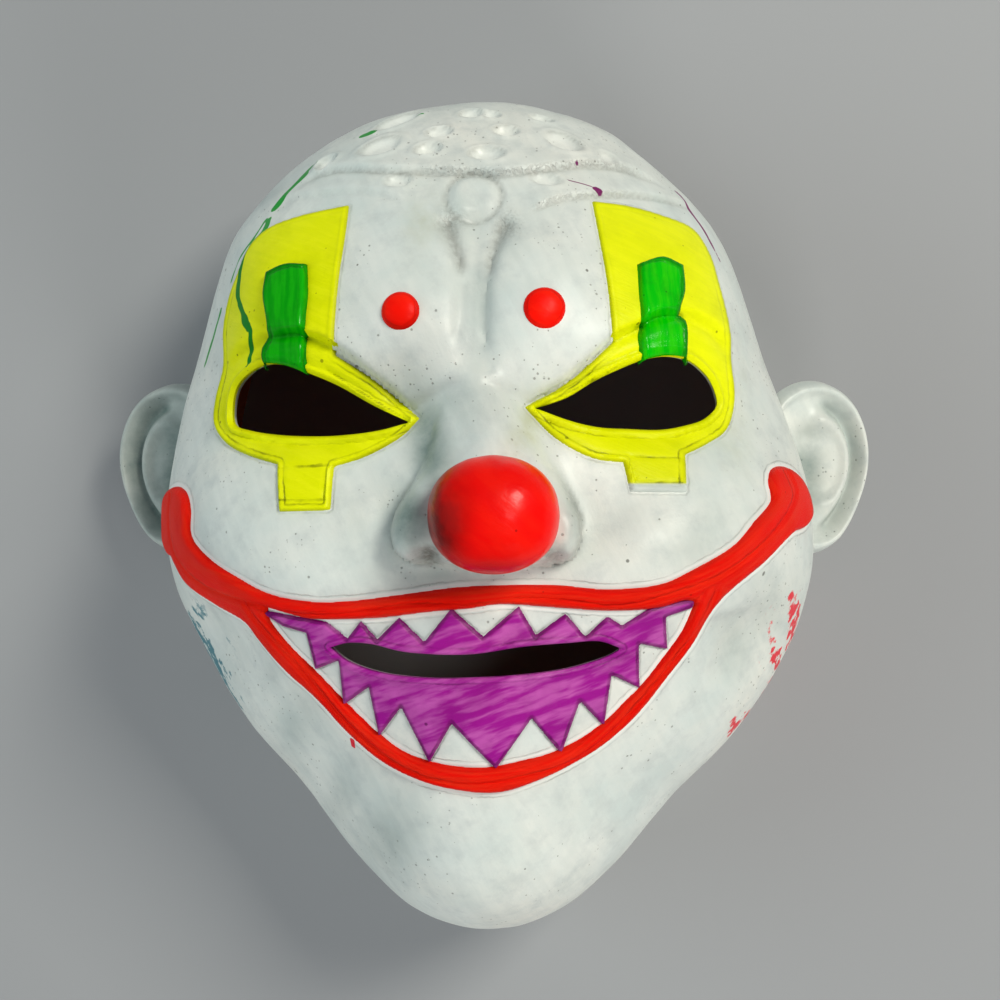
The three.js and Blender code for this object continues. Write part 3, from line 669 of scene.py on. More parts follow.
# Small dark dots, denser in some places
def makeSpeckle():
    tree, given, put = newEffect("speckle", [
        ("Vector", "Vector", None), ("Scale", "Float", 500.0), ("Amount", "Float", 0.2)],
        [("Mask", "Float")])
    cells = node(tree, "ShaderNodeTexVoronoi",
                 {"Vector": given["Vector"], "Scale": given["Scale"]})
    chance = node(tree, "ShaderNodeSeparateColor", {0: cells.outputs["Color"]}).outputs
    places = noiseValue(tree, given["Vector"], 45.0, 3.0)
    dense = times(tree, between(tree, places, 0.42, 0.66), given["Amount"])
    wide = maths(tree, "ADD", times(tree, maths(tree, "POWER", chance[1], 3.0), 0.2), 0.09)
    spot = between(tree, maths(tree, "DIVIDE", cells.outputs["Distance"], wide), 1.3, 0.7)
    chosen = maths(tree, "LESS_THAN", chance[0], dense)
    tree.links.new(times(tree, spot, chosen), put["Mask"])
    return tree


# Soft patches of another tone
def makeMottle():
    tree, given, put = newEffect("mottle", [
        ("Vector", "Vector", None), ("Scale", "Float", 60.0), ("Low", "Float", 0.4),
        ("High", "Float", 0.7)], [("Mask", "Float")])
    patches = noiseValue(tree, given["Vector"], given["Scale"], 5.0, 0.62)
    mapped = node(tree, "ShaderNodeMapRange", {0: patches, 1: given["Low"], 2: given["High"]})
    tree.links.new(mapped.outputs[0], put["Mask"])
    return tree


# A thin hand-drawn line at a given distance from an outline
def makeInkLine():
    tree, given, put = newEffect("ink line", [
        ("Vector", "Vector", None), ("Gap", "Float", 1.0), ("Place", "Float", -1.0),
        ("Width", "Float", 0.3), ("Broken", "Float", 0.3)], [("Mask", "Float")])
    unsteady = noiseValue(tree, given["Vector"], 420.0, 3.0)
    wobble = times(tree, maths(tree, "SUBTRACT", unsteady, 0.5), 0.9)
    away = maths(tree, "SUBTRACT", maths(tree, "ADD", given["Gap"], wobble), given["Place"])
    share = maths(tree, "DIVIDE", maths(tree, "ABSOLUTE", away), given["Width"])
    line = maths(tree, "SUBTRACT", 1.0, share, clamp=True)
    gaps = between(tree, noiseValue(tree, given["Vector"], 130.0, 4.0), 0.35, 0.62)
    kept = maths(tree, "SUBTRACT", 1.0, times(tree, gaps, given["Broken"]))
    tree.links.new(times(tree, line, kept), put["Mask"])
    return tree


brushMarks, speckle = makeBrushMarks(), makeSpeckle()
mottle, inkLine = makeMottle(), makeInkLine()
print("shared effects built")


# One use of a shared effect
def effect(tree, group, output="Mask", **inputs):
    return node(tree, "ShaderNodeGroup", inputs, node_tree=group).outputs[output]


def newPaint(name, roughness, coat=0.0, coatRoughness=0.2, shine=0.3):
    material = bpy.data.materials.new(name)
    material.use_nodes = True
    tree = material.node_tree
    shader = tree.nodes["Principled BSDF"]
    shader.inputs["Roughness"].default_value = roughness
    shader.inputs["Coat Weight"].default_value = coat
    shader.inputs["Coat Roughness"].default_value = coatRoughness
    shader.inputs["Specular IOR Level"].default_value = shine
    place = node(tree, "ShaderNodeTexCoord").outputs["Object"]
    return material, tree, shader, place


def attributeValue(tree, name):
    return node(tree, "ShaderNodeAttribute", attribute_name=name).outputs["Fac"]


# A drawn line beside the outline whose distance the attribute holds
def drawnLine(tree, place, key, spot, width, broken):
    gap = attributeValue(tree, key)
    return effect(tree, inkLine, Vector=place, Gap=gap, Place=spot, Width=width, Broken=broken)


def useBump(tree, shader, height, distance):
    bump = node(tree, "ShaderNodeBump", {"Height": height, "Distance": distance, "Strength": 1.0})
    tree.links.new(bump.outputs[0], shader.inputs["Normal"])


# White paint

whiteLook = {
    "tones": {
        "cool": (208, 218, 215), "warm": (232, 232, 224), "bright": (240, 242, 238),
        "dirtAndShade": (88, 86, 78), "grey": (168, 178, 178), "green": (28, 150, 52),
        "purple": (122, 20, 96), "red": (226, 44, 60), "teal": (70, 128, 140),
        "ink": (70, 66, 62), "paintedShade": (114, 132, 128), "olive": (186, 188, 158),
        "brown": (112, 98, 88),
    },
    "gloss": (0.42, 0.12, 0.3), "bump": 0.00012,  # roughness, coat and the coat's roughness
    # x, y, half width, half height, turn and strength of the soft painted grey shade in the
    # recesses and on the side away from the light
    "paintedShades": [
        (-10.5, 17, 5.5, 14, 18, 0.95), (-14, -1, 6, 8, 0, 1), (-19.5, -6, 2.2, 8, 10, 0.4),
        (-9.6, -9.5, 5, 4, 0, 0.6), (-8, -14, 11, 3, 8, 0.4), (20, -8, 5, 4, 0, 0.35),
        (0, 27, 11, 6, 0, 0.3),
        (2, 49, 3.5, 14, 0, 0.3), (-17, 27, 6, 3, -40, 0.3), (17, 27, 6, 3, 40, 0.25),
        (-34, 36, 9, 2.5, -30, 0.2),
        (-70, -20, 7, 14, 0, 0.1), (67, -34, 6, 12, 0, 0.3), (-50, -58, 7, 14, -35, 0.25),
        (-24, -86, 9, 12, -20, 0.4),
        (-36, -74, 5, 14, -35, 0.25), (-52, -38, 3, 10, -25, 0.2),
        (-4, 74, 6, 6, 0, 0.2), (8, 70, 4, 8, 0, 0.25), (-60, 88, 12, 3, 10, 0.2),
        (24.5, -2, 3.5, 8, 0, 0.46), (53, -6, 12, 8, 20, 0.3), (76, -26, 8, 12, 0, 0.32),
        (-29, -1, 6, 7, 0, 0.16), (35, -1, 7, 7, 0, 0.14), (1, 22, 5, 5, 0, 0.18),
    ],
    "warms": [
        (13, 20, 3.5, 10, -25, 0.8), (66, 30, 5, 18, 0, 0.5), (40, 56, 8, 4, 0, 0.4),
        (-14, 74, 4, 8, 0, 0.5),
    ],
    # attribute, place beside the outline, width and strength of the drawn lines
    "drawnLines": [
        ("lipGap", 1.6, 0.28, 0.3), ("panelGap", 0.35, 0.4, 0.5), ("patchGap", 0.7, 0.4, 0.25),
    ],
}
tone = {key: linearColour(*value) for key, value in whiteLook["tones"].items()}


def softRegions(x, y, rows):
    total = np.zeros(x.shape)
    for px, py, wide, tall, turn, strength in rows:
        across, upward = turnedPlan(x, y, px, py, turn)
        total = np.maximum(total, strength * bell(across / wide, upward / tall))
    return total


# What only the face has: bowls brightened as painted light, warm places, dirt with painted shade,
# drawn lines, runs and splashes
def faceLayers(tree, place, patchy, colour, height):
    # Painted light: the dents' floors brightened where the dish catches the light
    bowls = times(tree, attributeValue(tree, "bowls"), 0.4)
    colour = blend(tree, bowls, colour, tone["bright"])
    warmed = times(tree, attributeValue(tree, "warm"), patchy, clamp=True)
    colour = blend(tree, warmed, colour, tone["olive"])
    # Dirt and painted shade in the creases, grooves, dents and nostrils
    soilAndShade = attributeValue(tree, "soilAndShade")
    crumbs = effect(tree, mottle, Vector=place, Scale=700.0, Low=0.3, High=0.6)
    crumbly = maths(tree, "ADD", times(tree, crumbs, 0.5), 0.42)
    soiledAndShaded = times(tree, soilAndShade, crumbly, clamp=True)
    colour = dyed(tree, colour, soiledAndShaded, 0.85, tone["dirtAndShade"])
    rubble = noiseValue(tree, place, 1100.0, 4.0)
    rubble = times(tree, between(tree, rubble, 0.44, 0.58), attributeValue(tree, "crumbs"))
    colour = dyed(tree, colour, rubble, 0.28, tone["brown"])
    height = maths(tree, "SUBTRACT", height, times(tree, rubble, 1.3))
    lipGap = attributeValue(tree, "lipGap")
    near = times(tree, between(tree, lipGap, 1.5, 0.9), between(tree, lipGap, -0.5, 0.1))
    colour = dyed(tree, colour, near, 0.75, tone["bright"])
    for key, spot, width, amount in whiteLook["drawnLines"]:
        line = drawnLine(tree, place, key, spot, width, 0.7)
        colour = dyed(tree, colour, line, amount, tone["ink"])
        height = maths(tree, "SUBTRACT", height, times(tree, line, 1.2))
    for key, shade in (("greenRun", "green"), ("purpleRun", "purple"), ("redDrop", "red")):
        wet = between(tree, attributeValue(tree, key), 0.12, -0.12)
        colour = blend(tree, wet, colour, tone[shade])
    for key, shade, turn in (("redSplash", "red", 1.2), ("tealSplash", "teal", 1.0)):
        smears = effect(tree, brushMarks, Vector=place, Length=70.0, Width=230.0, Turn=turn)
        worn = effect(tree, mottle, Vector=place, Scale=300.0, Low=0.36, High=0.56)
        amount = times(tree, times(tree, smears, worn), attributeValue(tree, key))
        colour = blend(tree, between(tree, amount, 0.22, 0.42), colour, tone[shade])
    return colour, height


def whitePaint(name, detailed):
    material, tree, shader, place = newPaint(name, *whiteLook["gloss"])
    wide = effect(tree, mottle, Vector=place, Scale=22.0, Low=0.35, High=0.68)
    colour = blend(tree, wide, tone["cool"], tone["warm"])
    cloudy = effect(tree, mottle, Vector=place, Scale=75.0, Low=0.42, High=0.72)
    colour = dyed(tree, colour, cloudy, 0.45, tone["bright"])
    smudges = effect(tree, mottle, Vector=place, Scale=150.0, Low=0.48, High=0.72)
    colour = dyed(tree, colour, smudges, 0.4, tone["grey"])
    strokes = effect(tree, brushMarks, Vector=place, Length=35.0, Width=420.0, Turn=1.1)
    colour = dyed(tree, colour, strokes, 0.1, tone["grey"])
    dots = effect(tree, speckle, Vector=place, Scale=850.0, Amount=0.55)
    colour = dyed(tree, colour, dots, 0.55, tone["dirtAndShade"])
    specks = effect(tree, speckle, Vector=place, Scale=420.0, Amount=0.05)
    colour = dyed(tree, colour, specks, 0.8, tone["dirtAndShade"])
    fine = effect(tree, brushMarks, "Fine", Vector=place, Length=60.0, Width=520.0, Turn=1.1)
    grain = noiseValue(tree, place, 1400.0, 3.0)
    height = maths(tree, "ADD", times(tree, fine, 0.15), times(tree, grain, 0.4))
    height = maths(tree, "SUBTRACT", height, times(tree, dots, 0.7))
    patchy = effect(tree, mottle, Vector=place, Scale=170.0, Low=0.25, High=0.75)
    # Painted grey shade in the recesses and on the side away from the light, broken up by the
    # patchy mottle
    shadeShare = maths(tree, "ADD", times(tree, patchy, 0.45), 0.7)
    shadeShare = times(tree, attributeValue(tree, "paintedShade"), shadeShare, clamp=True)
    colour = blend(tree, shadeShare, colour, tone["paintedShade"])
    if detailed:
        colour, height = faceLayers(tree, place, patchy, colour, height)
    tree.links.new(colour, shader.inputs["Base Color"])
    rough = maths(tree, "ADD", 0.36, times(tree, cloudy, 0.2))
    tree.links.new(rough, shader.inputs["Roughness"])
    useBump(tree, shader, height, whiteLook["bump"])
    return material


# A coloured gloss paint with strokes along its own direction, dark edges, worn places, and dirt
# with painted shade from the face's creases and dents
def colourPaint(name, look, strokes=None, turn=0.4):
    material, tree, shader, place = newPaint(name, look["roughness"], look["coat"], 0.15,
                                             look["shine"])
    tones = {key: linearColour(*value) for key, value in look["tones"].items()}
    lines = place
    if strokes:
        lines = node(tree, "ShaderNodeCombineXYZ", {0: attributeValue(tree, strokes[0]),
                                                    1: attributeValue(tree, strokes[1])}).outputs[0]
    length, width = look["stroke"]
    marks = effect(tree, brushMarks, Vector=lines, Length=length, Width=width, Turn=turn)
    colour = blend(tree, times(tree, marks, look["light"]), tones["base"], tones["light"])
    patches = effect(tree, mottle, Vector=place, Scale=look["patches"], Low=0.45, High=0.75)
    colour = dyed(tree, colour, patches, look["shade"], tones["deep"])
    dots = effect(tree, speckle, Vector=place, Scale=560.0, Amount=look["dots"])
    colour = dyed(tree, colour, dots, 0.7, tones["dark"])
    gap = attributeValue(tree, "edgeGap")
    border = between(tree, gap, -0.9, 0.1)
    colour = dyed(tree, colour, border, look["border"], tones["dark"])
    fine = effect(tree, brushMarks, "Fine", Vector=lines, Length=length, Width=width, Turn=turn)
    grain = noiseValue(tree, place, 900.0, 3.0)
    height = maths(tree, "ADD", fine, times(tree, grain, 0.3))
    for key, spot, thick, amount in look["lines"]:
        line = drawnLine(tree, place, key, spot, thick, 0.75)
        if "bare" in look:
            line = times(tree, line, attributeValue(tree, "inkShare"))
        colour = dyed(tree, colour, line, amount, tones["ink"])
        height = maths(tree, "SUBTRACT", height, times(tree, line, 1.5))
    if "bare" in look:
        colour = blend(tree, attributeValue(tree, "bareStrip"), colour, linearColour(*look["bare"]))
    if "greenRun" in look:
        wet = between(tree, attributeValue(tree, "greenRun"), 0.1, -0.1)
        colour = blend(tree, wet, colour, linearColour(*look["greenRun"]))
    # Dirt and painted shade from the face's creases, dents and folds, in the ink tone; on the nose
    # ball it is only painted shade
    soilAndShade = attributeValue(tree, "soilAndShade")
    crumbs = effect(tree, mottle, Vector=place, Scale=look.get("crumbs", 500.0), Low=0.25, High=0.6)
    colour = blend(tree, times(tree, times(tree, soilAndShade, crumbs), look["soilAndShade"]), colour,
                   tones["ink"])
    tree.links.new(colour, shader.inputs["Base Color"])
    rough = maths(tree, "ADD", look["roughness"], times(tree, patches, 0.12))
    tree.links.new(rough, shader.inputs["Roughness"])
    useBump(tree, shader, height, look["bump"])
    return material


# Outlines of the painted pieces
shapes = {
    "leftPatch": [
        (-0.364, 0.674), (-0.366, 0.587), (-0.375, 0.461), (-0.379, 0.335), (-0.261, 0.276),
        (-0.148, 0.2), (-0.189, 0.165), (-0.286, 0.122), (-0.374, 0.101), (-0.378, 0.011),
        (-0.514, 0.008), (-0.532, 0.107), (-0.635, 0.13), (-0.714, 0.158), (-0.765, 0.2),
        (-0.767, 0.258), (-0.742, 0.332), (-0.756, 0.418), (-0.738, 0.497), (-0.711, 0.541),
        (-0.671, 0.606), (-0.615, 0.641), (-0.527, 0.659),
    ],
    "rightPatch": [
        (0.318, 0.68), (0.338, 0.579), (0.356, 0.485), (0.37, 0.361), (0.259, 0.281),
        (0.137, 0.223),
        (0.214, 0.161), (0.316, 0.118), (0.396, 0.11), (0.413, 0.049), (0.559, 0.048),
        (0.562, 0.127),
        (0.632, 0.154), (0.69, 0.186), (0.716, 0.251), (0.708, 0.336), (0.708, 0.397),
        (0.696, 0.459),
        (0.678, 0.519), (0.657, 0.581), (0.61, 0.64), (0.509, 0.664), (0.416, 0.677),
    ],
    "leftBar": [
        (-0.586, 0.521), (-0.521, 0.537), (-0.463, 0.533), (-0.454, 0.469), (-0.455, 0.412),
        (-0.457, 0.284), (-0.505, 0.297), (-0.58, 0.305), (-0.587, 0.347), (-0.568, 0.384),
        (-0.589, 0.468),
    ],
    "rightBar": [
        (0.434, 0.529), (0.501, 0.549), (0.562, 0.532), (0.564, 0.472), (0.548, 0.423),
        (0.565, 0.407),
        (0.566, 0.318), (0.447, 0.31), (0.433, 0.37), (0.441, 0.405), (0.437, 0.463),
    ],
    "panel": [
        (-0.586, -0.202), (-0.39, -0.223), (-0.333, -0.258), (-0.294, -0.221), (-0.252, -0.259),
        (-0.191, -0.212), (-0.125, -0.262), (-0.053, -0.192), (0.029, -0.249), (0.121, -0.188),
        (0.165, -0.247), (0.242, -0.203), (0.294, -0.251), (0.351, -0.209), (0.39, -0.229),
        (0.462, -0.192), (0.581, -0.174), (0.576, -0.192), (0.504, -0.21), (0.512, -0.281),
        (0.434, -0.265), (0.439, -0.364), (0.363, -0.331), (0.344, -0.445), (0.28, -0.384),
        (0.23, -0.501), (0.153, -0.418), (0.057, -0.528), (-0.058, -0.428), (-0.122, -0.517),
        (-0.193, -0.396), (-0.26, -0.466), (-0.28, -0.357), (-0.357, -0.402), (-0.361, -0.303),
        (-0.433, -0.327), (-0.449, -0.247), (-0.515, -0.235),
    ],
    # the outer and inner edge of the lips, in millimetres
    "lipsOuter": [
        (-82.9, 7.1), (-87.3, 6), (-90.6, 3.1), (-91.2, -2.1), (-90, -7.6), (-86.8, -11.2),
        (-84, -12),
        (-78.4, -19.1), (-67.7, -24.4), (-58.7, -27.8), (-55.9, -31.8), (-48.4, -39.9),
        (-40.3, -46.7),
        (-32.3, -55.2), (-23.9, -61.8), (-14.8, -65.7), (-4.7, -67.9), (6.1, -68.5), (15.9, -65.7),
        (25.2, -61.5), (32.8, -56.8), (40.6, -49.6), (47.4, -40.8), (54, -31.9), (58.4, -23.7),
        (62.8, -18.9), (71.5, -12.6), (82, -4.6), (86, -3.6), (89.4, -0.6), (89, 4.2), (86.2, 9),
        (82.3, 11.7), (78.7, 12.3), (75.9, 11.3), (74.7, 8.5), (75, 3.4), (69.7, -1.9), (64, -7.6),
        (52.8, -13.7), (45.6, -16.8), (32.2, -18), (19.8, -17), (6.3, -17.1), (-3.5, -17.6),
        (-18, -19.6), (-29.6, -21.1), (-39.1, -21.4), (-50.5, -19.8), (-59.5, -15.9),
        (-68.2, -11.4),
        (-74.7, -5.6), (-75.2, 0.8), (-77.7, 5.3),
    ],
    "lipsInner": [
        (-51.6, -22.8), (-45.7, -24.2), (-40.3, -25.3), (-30.2, -25.1), (-22, -24.6), (-10.1, -23),
        (-0.2, -22.1), (6.5, -21.1), (19.7, -21.9), (33.4, -22.8), (45.1, -22.2), (52, -20.6),
        (54, -22), (51.3, -28.9), (46.2, -36.4), (41.9, -42.1), (37.3, -46.8), (31.4, -52.5),
        (23.7, -57.3), (16, -60.1), (6.1, -62.1), (1.6, -62.4), (-9.2, -61.8), (-18.1, -59),
        (-24.7, -54.6), (-32.4, -47.4), (-40.3, -39.5), (-47, -33.1), (-51.8, -26),
    ],
    # middle lines of the two strokes of the lips
    "upperStroke": [
        (-83.7, 5.3), (-83.7, -2.4), (-80.9, -10.6), (-72.2, -17.5), (-57.4, -21.2), (-40.7, -23.6),
        (-28.7, -23.2), (-14.8, -21.7), (0.9, -20.8), (12, -19.7), (23.1, -20.2), (34.7, -21),
        (46.3, -19.1), (57.4, -15.6), (68.5, -8.9), (77.7, -1.2), (81.9, 5.3), (79.6, 11.2),
    ],
    "lowerStroke": [
        (-57.4, -21.8), (-50.4, -31.3), (-41.6, -40.7), (-33.6, -50.7), (-24.8, -58.3),
        (-16.7, -62.8),
        (-8.3, -64.9), (1.9, -65.6), (13, -64.3), (22.2, -61.6), (31.5, -55.7), (39.8, -47.2),
        (47.6, -38), (54.1, -28.9), (58.3, -18.9),
    ],
}
outlines = {
    "leftPatch": corneredLoop(inMillimetres(shapes["leftPatch"]), [0, 3, 5, 8, 9, 10, 11, 19], 5),
    "rightPatch": corneredLoop(inMillimetres(shapes["rightPatch"]), [0, 3, 5, 8, 9, 10, 11], 5),
    "leftBar": corneredLoop(inMillimetres(shapes["leftBar"]), [0, 2, 5, 7], 5),
    "rightBar": corneredLoop(inMillimetres(shapes["rightBar"]), [0, 2, 6, 7], 5),
    "panel": np.array(inMillimetres(shapes["panel"])),
    "lipsOuter": corneredLoop(shapes["lipsOuter"], [6, 8, 26], 5),
    "lipsInner": corneredLoop(shapes["lipsInner"], [0, 12], 5),
}
strokeLines = {name: smoothLine(shapes[name]) for name in ("upperStroke", "lowerStroke")}

# Runs of paint: middle line and full width
runs = {
    "greenRun": [
        ([(-50.2, 89.4), (-53.4, 85.9), (-56.4, 82.3)], 2.6),
        ([(-57.5, 79.3), (-58.8, 75.4), (-62.5, 71.2), (-63.7, 67.6), (-64.3, 61.9), (-63.7, 56.3),
          (-61.7, 52.6), (-58.7, 47.5)], 2.4),
        ([(-58.7, 48.5), (-57.8, 45.6), (-58.9, 41.8), (-59, 38.1)], 1.5),
        ([(-45.1, 94.6), (-47.3, 92.5), (-50.2, 89.5)], 1.6), ([(-49.6, 89.8), (-49, 90.6),
        (-48.3, 91.1)], 2.8),
        ([(-33.3, 103.8), (-31.3, 104.2), (-30.2, 104.5)], 2.0),
        ([(-20.5, 109.6), (-18.7, 110.2), (-17.4, 110.5)], 1.2),
        ([(-58.6, 79.4), (-61.3, 74.7), (-66, 69), (-69, 63)], 1.0),
        ([(-72.7, 56), (-75.3, 49), (-78, 41)], 1.4),
    ],
    "purpleRun": [
        ([(22.6, 85.9), (25.9, 85.1), (29.5, 84.0)], 0.5), ([(29.9, 83.6), (30.4, 83.4),
        (30.8, 83.1)], 1.8),
        ([(24.9, 91.6), (25.1, 91.5), (25.3, 91.4)], 1.2),
        ([(52.6, 88.2), (56.5, 82.6), (60.6, 75.9), (64.4, 68)], 1.3),
    ],
    "redDrop": [([(-31.8, -57.4), (-31.7, -58.2), (-31.6, -59)], 1.4)],
}


# Distance over the skin to the edge of the nearest run
def runGap(name, x, y, z):
    total = np.full(x.shape, 6.0)
    where = np.stack([x, y, z], axis=1)
    uneven = 1 + 0.4 * lumps(x + z, y, 3.0, 4)
    for line, width in runs[name]:
        flat = smoothLine(line)
        lifted, normal = skinOver(flat[:, 0].copy(), flat[:, 1].copy(), False)
        near = ((where > lifted.min(0) - 6) & (where < lifted.max(0) + 6)).all(axis=1)
        found = total[near]
        for start, end, out in zip(lifted[:-1], lifted[1:], normal[:-1]):
            step = end - start
            away = where[near] - start
            away = away - np.clip(away @ out, -5, 5)[:, None] * out
            t = np.clip(away @ step / max(step @ step, 1e-9), 0, 1)
            gap = np.linalg.norm(away - t[:, None] * step, axis=1)
            found = np.minimum(found, gap - width / 2 * uneven[near])
        total[near] = found
    return total


# Gap to the band between the two edges of the lips, and the nearest point
def lipsEdge(x, y):
    outer, outerX, outerY = outlineGap(outlines["lipsOuter"], x, y)
    inner, innerX, innerY = outlineGap(outlines["lipsInner"], x, y)
    isOuter = outer > -inner
    nearX, nearY = np.where(isOuter, outerX, innerX), np.where(isOuter, outerY, innerY)
    return np.maximum(outer, -inner), nearX, nearY


def lipsGap(x, y):
    return lipsEdge(x, y)[0]


# Distance to the areas that painted sheets cover, negative inside them
def coveredGap(x, y):
    gaps = [outlineGap(outlines[name], x, y)[0] for name in ("leftPatch", "rightPatch", "panel")]
    return np.minimum.reduce(gaps + [lipsGap(x, y)])


# A soft oval spot
def region(x, y, px, py, wide, tall):
    return bell((x - px) / wide, (y - py) / tall)


# Mask shell

def buildShell():
    outer = flatGrid("clownFace", face["cells"], face["cells"])
    grid = readPoints(outer)
    base, normal, down = gridBase(crowd(grid[:, 0], face["crowdAcross"]),
                                  crowd(grid[:, 1], face["crowdUp"]))
    skin = outerSkin(base, normal, down, 0.0)
    depth, start, end = face["sunk"]
    sunk = depth * ease(-coveredGap(skin[:, 0], skin[:, 1]), start, end) * (1 - down)
    writePoints(outer, skin - normal * sunk[:, None])
    inner = flatGrid("clownFaceInside", face["innerCells"], face["innerCells"])
    grid = readPoints(inner)
    base, normal, down = gridBase(grid[:, 0], grid[:, 1])
    points = innerSkin(base, normal, down, -face["wall"])
    points[:, 2] = np.where(down > 0.999, 0, points[:, 2])
    writePoints(inner, points)
    editAll(inner, bpy.ops.mesh.flip_normals)
    for paint in (whitePaint("white paint", True), insidePaint()):
        outer.data.materials.append(paint)
        inner.data.materials.append(paint)
    inner.data.polygons.foreach_set("material_index", [1] * len(inner.data.polygons))
    bpy.ops.object.select_all(action="DESELECT")
    outer.select_set(True)
    inner.select_set(True)
    bpy.context.view_layer.objects.active = outer
    bpy.ops.object.join()
    bpy.context.tool_settings.mesh_select_mode = (False, True, False)
    bpy.ops.object.mode_set(mode="EDIT")
    bpy.ops.mesh.select_all(action="DESELECT")
    bpy.ops.mesh.select_non_manifold(extend=False, use_wire=False, use_boundary=True,
                                     use_multi_face=False, use_non_contiguous=False,
                                     use_verts=False)
    bpy.ops.mesh.bridge_edge_loops()
    bpy.ops.object.mode_set(mode="OBJECT")
    for line in (leftEyeLine, rightEyeLine, slitLine):
        cutHole(outer, line)
    return outer


insideLook = {"deep": (196, 106, 66), "pale": (218, 140, 96), "roughness": 0.7, "bump": 0.0004}


def insidePaint():
    material, tree, shader, place = newPaint("inside paint", insideLook["roughness"])
    deep, pale = linearColour(*insideLook["deep"]), linearColour(*insideLook["pale"])
    patches = effect(tree, mottle, Vector=place, Scale=40.0, Low=0.35, High=0.7)
    strokes = effect(tree, brushMarks, "Fine", Vector=place, Length=40.0, Width=260.0, Turn=0.6)
    tree.links.new(blend(tree, patches, deep, pale), shader.inputs["Base Color"])
    useBump(tree, shader, strokes, insideLook["bump"])
    return material


def cutHole(shell, line):
    wider = widened(line, holes["clear"])
    bpy.ops.mesh.primitive_circle_add(vertices=len(wider), radius=1, fill_type="NGON")
    cutter = bpy.context.object
    writePoints(cutter, np.column_stack([wider, np.full(len(wider), holes["cutLow"])]))
    bpy.ops.object.mode_set(mode="EDIT")
    bpy.ops.mesh.select_all(action="SELECT")
    tall = holes["cutTall"] / 1000
    bpy.ops.mesh.extrude_region_move(TRANSFORM_OT_translate={"value": (0, 0, tall)})
    bpy.ops.mesh.select_all(action="SELECT")
    bpy.ops.mesh.normals_make_consistent(inside=False)
    bpy.ops.object.mode_set(mode="OBJECT")
    applied(shell, "BOOLEAN", object=cutter, operation="DIFFERENCE", solver="MANIFOLD")
    bpy.data.objects.remove(cutter, do_unlink=True)


# Heights under which the rim and the inside stay free of the marks of the face
markFrom = {"front": (30, 45), "outlines": 45, "panel": 60}

shell = buildShell()
x, y, z = facePlan(shell)
front = ease(z, *markFrom["front"])
mark(shell, "soilAndShade", faceDetail(x, y)[1] * front)
mark(shell, "lipGap", np.where(z > markFrom["outlines"], lipsGap(x, y), farAway))
panelGap = outlineGap(outlines["panel"], x, y)[0]
mark(shell, "panelGap", np.where(z > markFrom["panel"], panelGap, farAway))
patchGaps = [outlineGap(outlines[name], x, y)[0] for name in ("leftPatch", "rightPatch")]
mark(shell, "patchGap", np.where(z > markFrom["outlines"], np.minimum(*patchGaps), farAway))
for runName in runs:
    mark(shell, runName, runGap(runName, x, y, z))
# Painted grey shade in the recesses and on the side away from the light
mark(shell, "paintedShade", softRegions(x, y, whiteLook["paintedShades"]) * front)
mark(shell, "warm", softRegions(x, y, whiteLook["warms"]) * front)
# Painted light inside the dents
bowls = sum(strength * (1 - ease(around, 0.55, 0.95)) for strength, around, _ in dentFields(x, y))
mark(shell, "bowls", np.clip(bowls, 0, 1) * front)
capGap, capAlong = lineGap(creaseLines["capEdge"], x, y)
bandGap, bandAlong = lineGap(creaseLines["rightBand"], x, y)
crumbs = bell((capGap - 0.8) / 1.1) * ease(x, -20, -8) * ease(1 - capAlong, 0, 0.2)
bandShare = ease(1 - bandAlong, 0.2, 0.6) * ease(bandAlong, 0, 0.1)
crumbs += 0.8 * bell((bandGap - 0.6) / 0.9) * bandShare
mark(shell, "crumbs", crumbs + 0.7 * (region(x, y, -7, 74, 3, 4) + region(x, y, 8, 73, 3, 4)))
mark(shell, "redSplash", region(x, y, 86, -42, 11, 24) + region(x, y, 72, -62, 6, 8))
mark(shell, "tealSplash", 1.3 * region(x, y, -79, -48, 12, 20))
finishPiece(shell, ["mask_shell"], 45)


# Painted sheets rise out of the skin inside an outline and dive under it outside
sheet = {
    "margin": 2.0, "skirt": 1.6,  # how far the grid and the faces reach past the outline
    "thickness": 0.7,
    "diveFrom": 0.1, "diveSlope": 1.5, "deepest": 1.2,
    "sag": 0.45, "sagWidth": 0.9,  # how the paint goes down at the edge of a hole
}


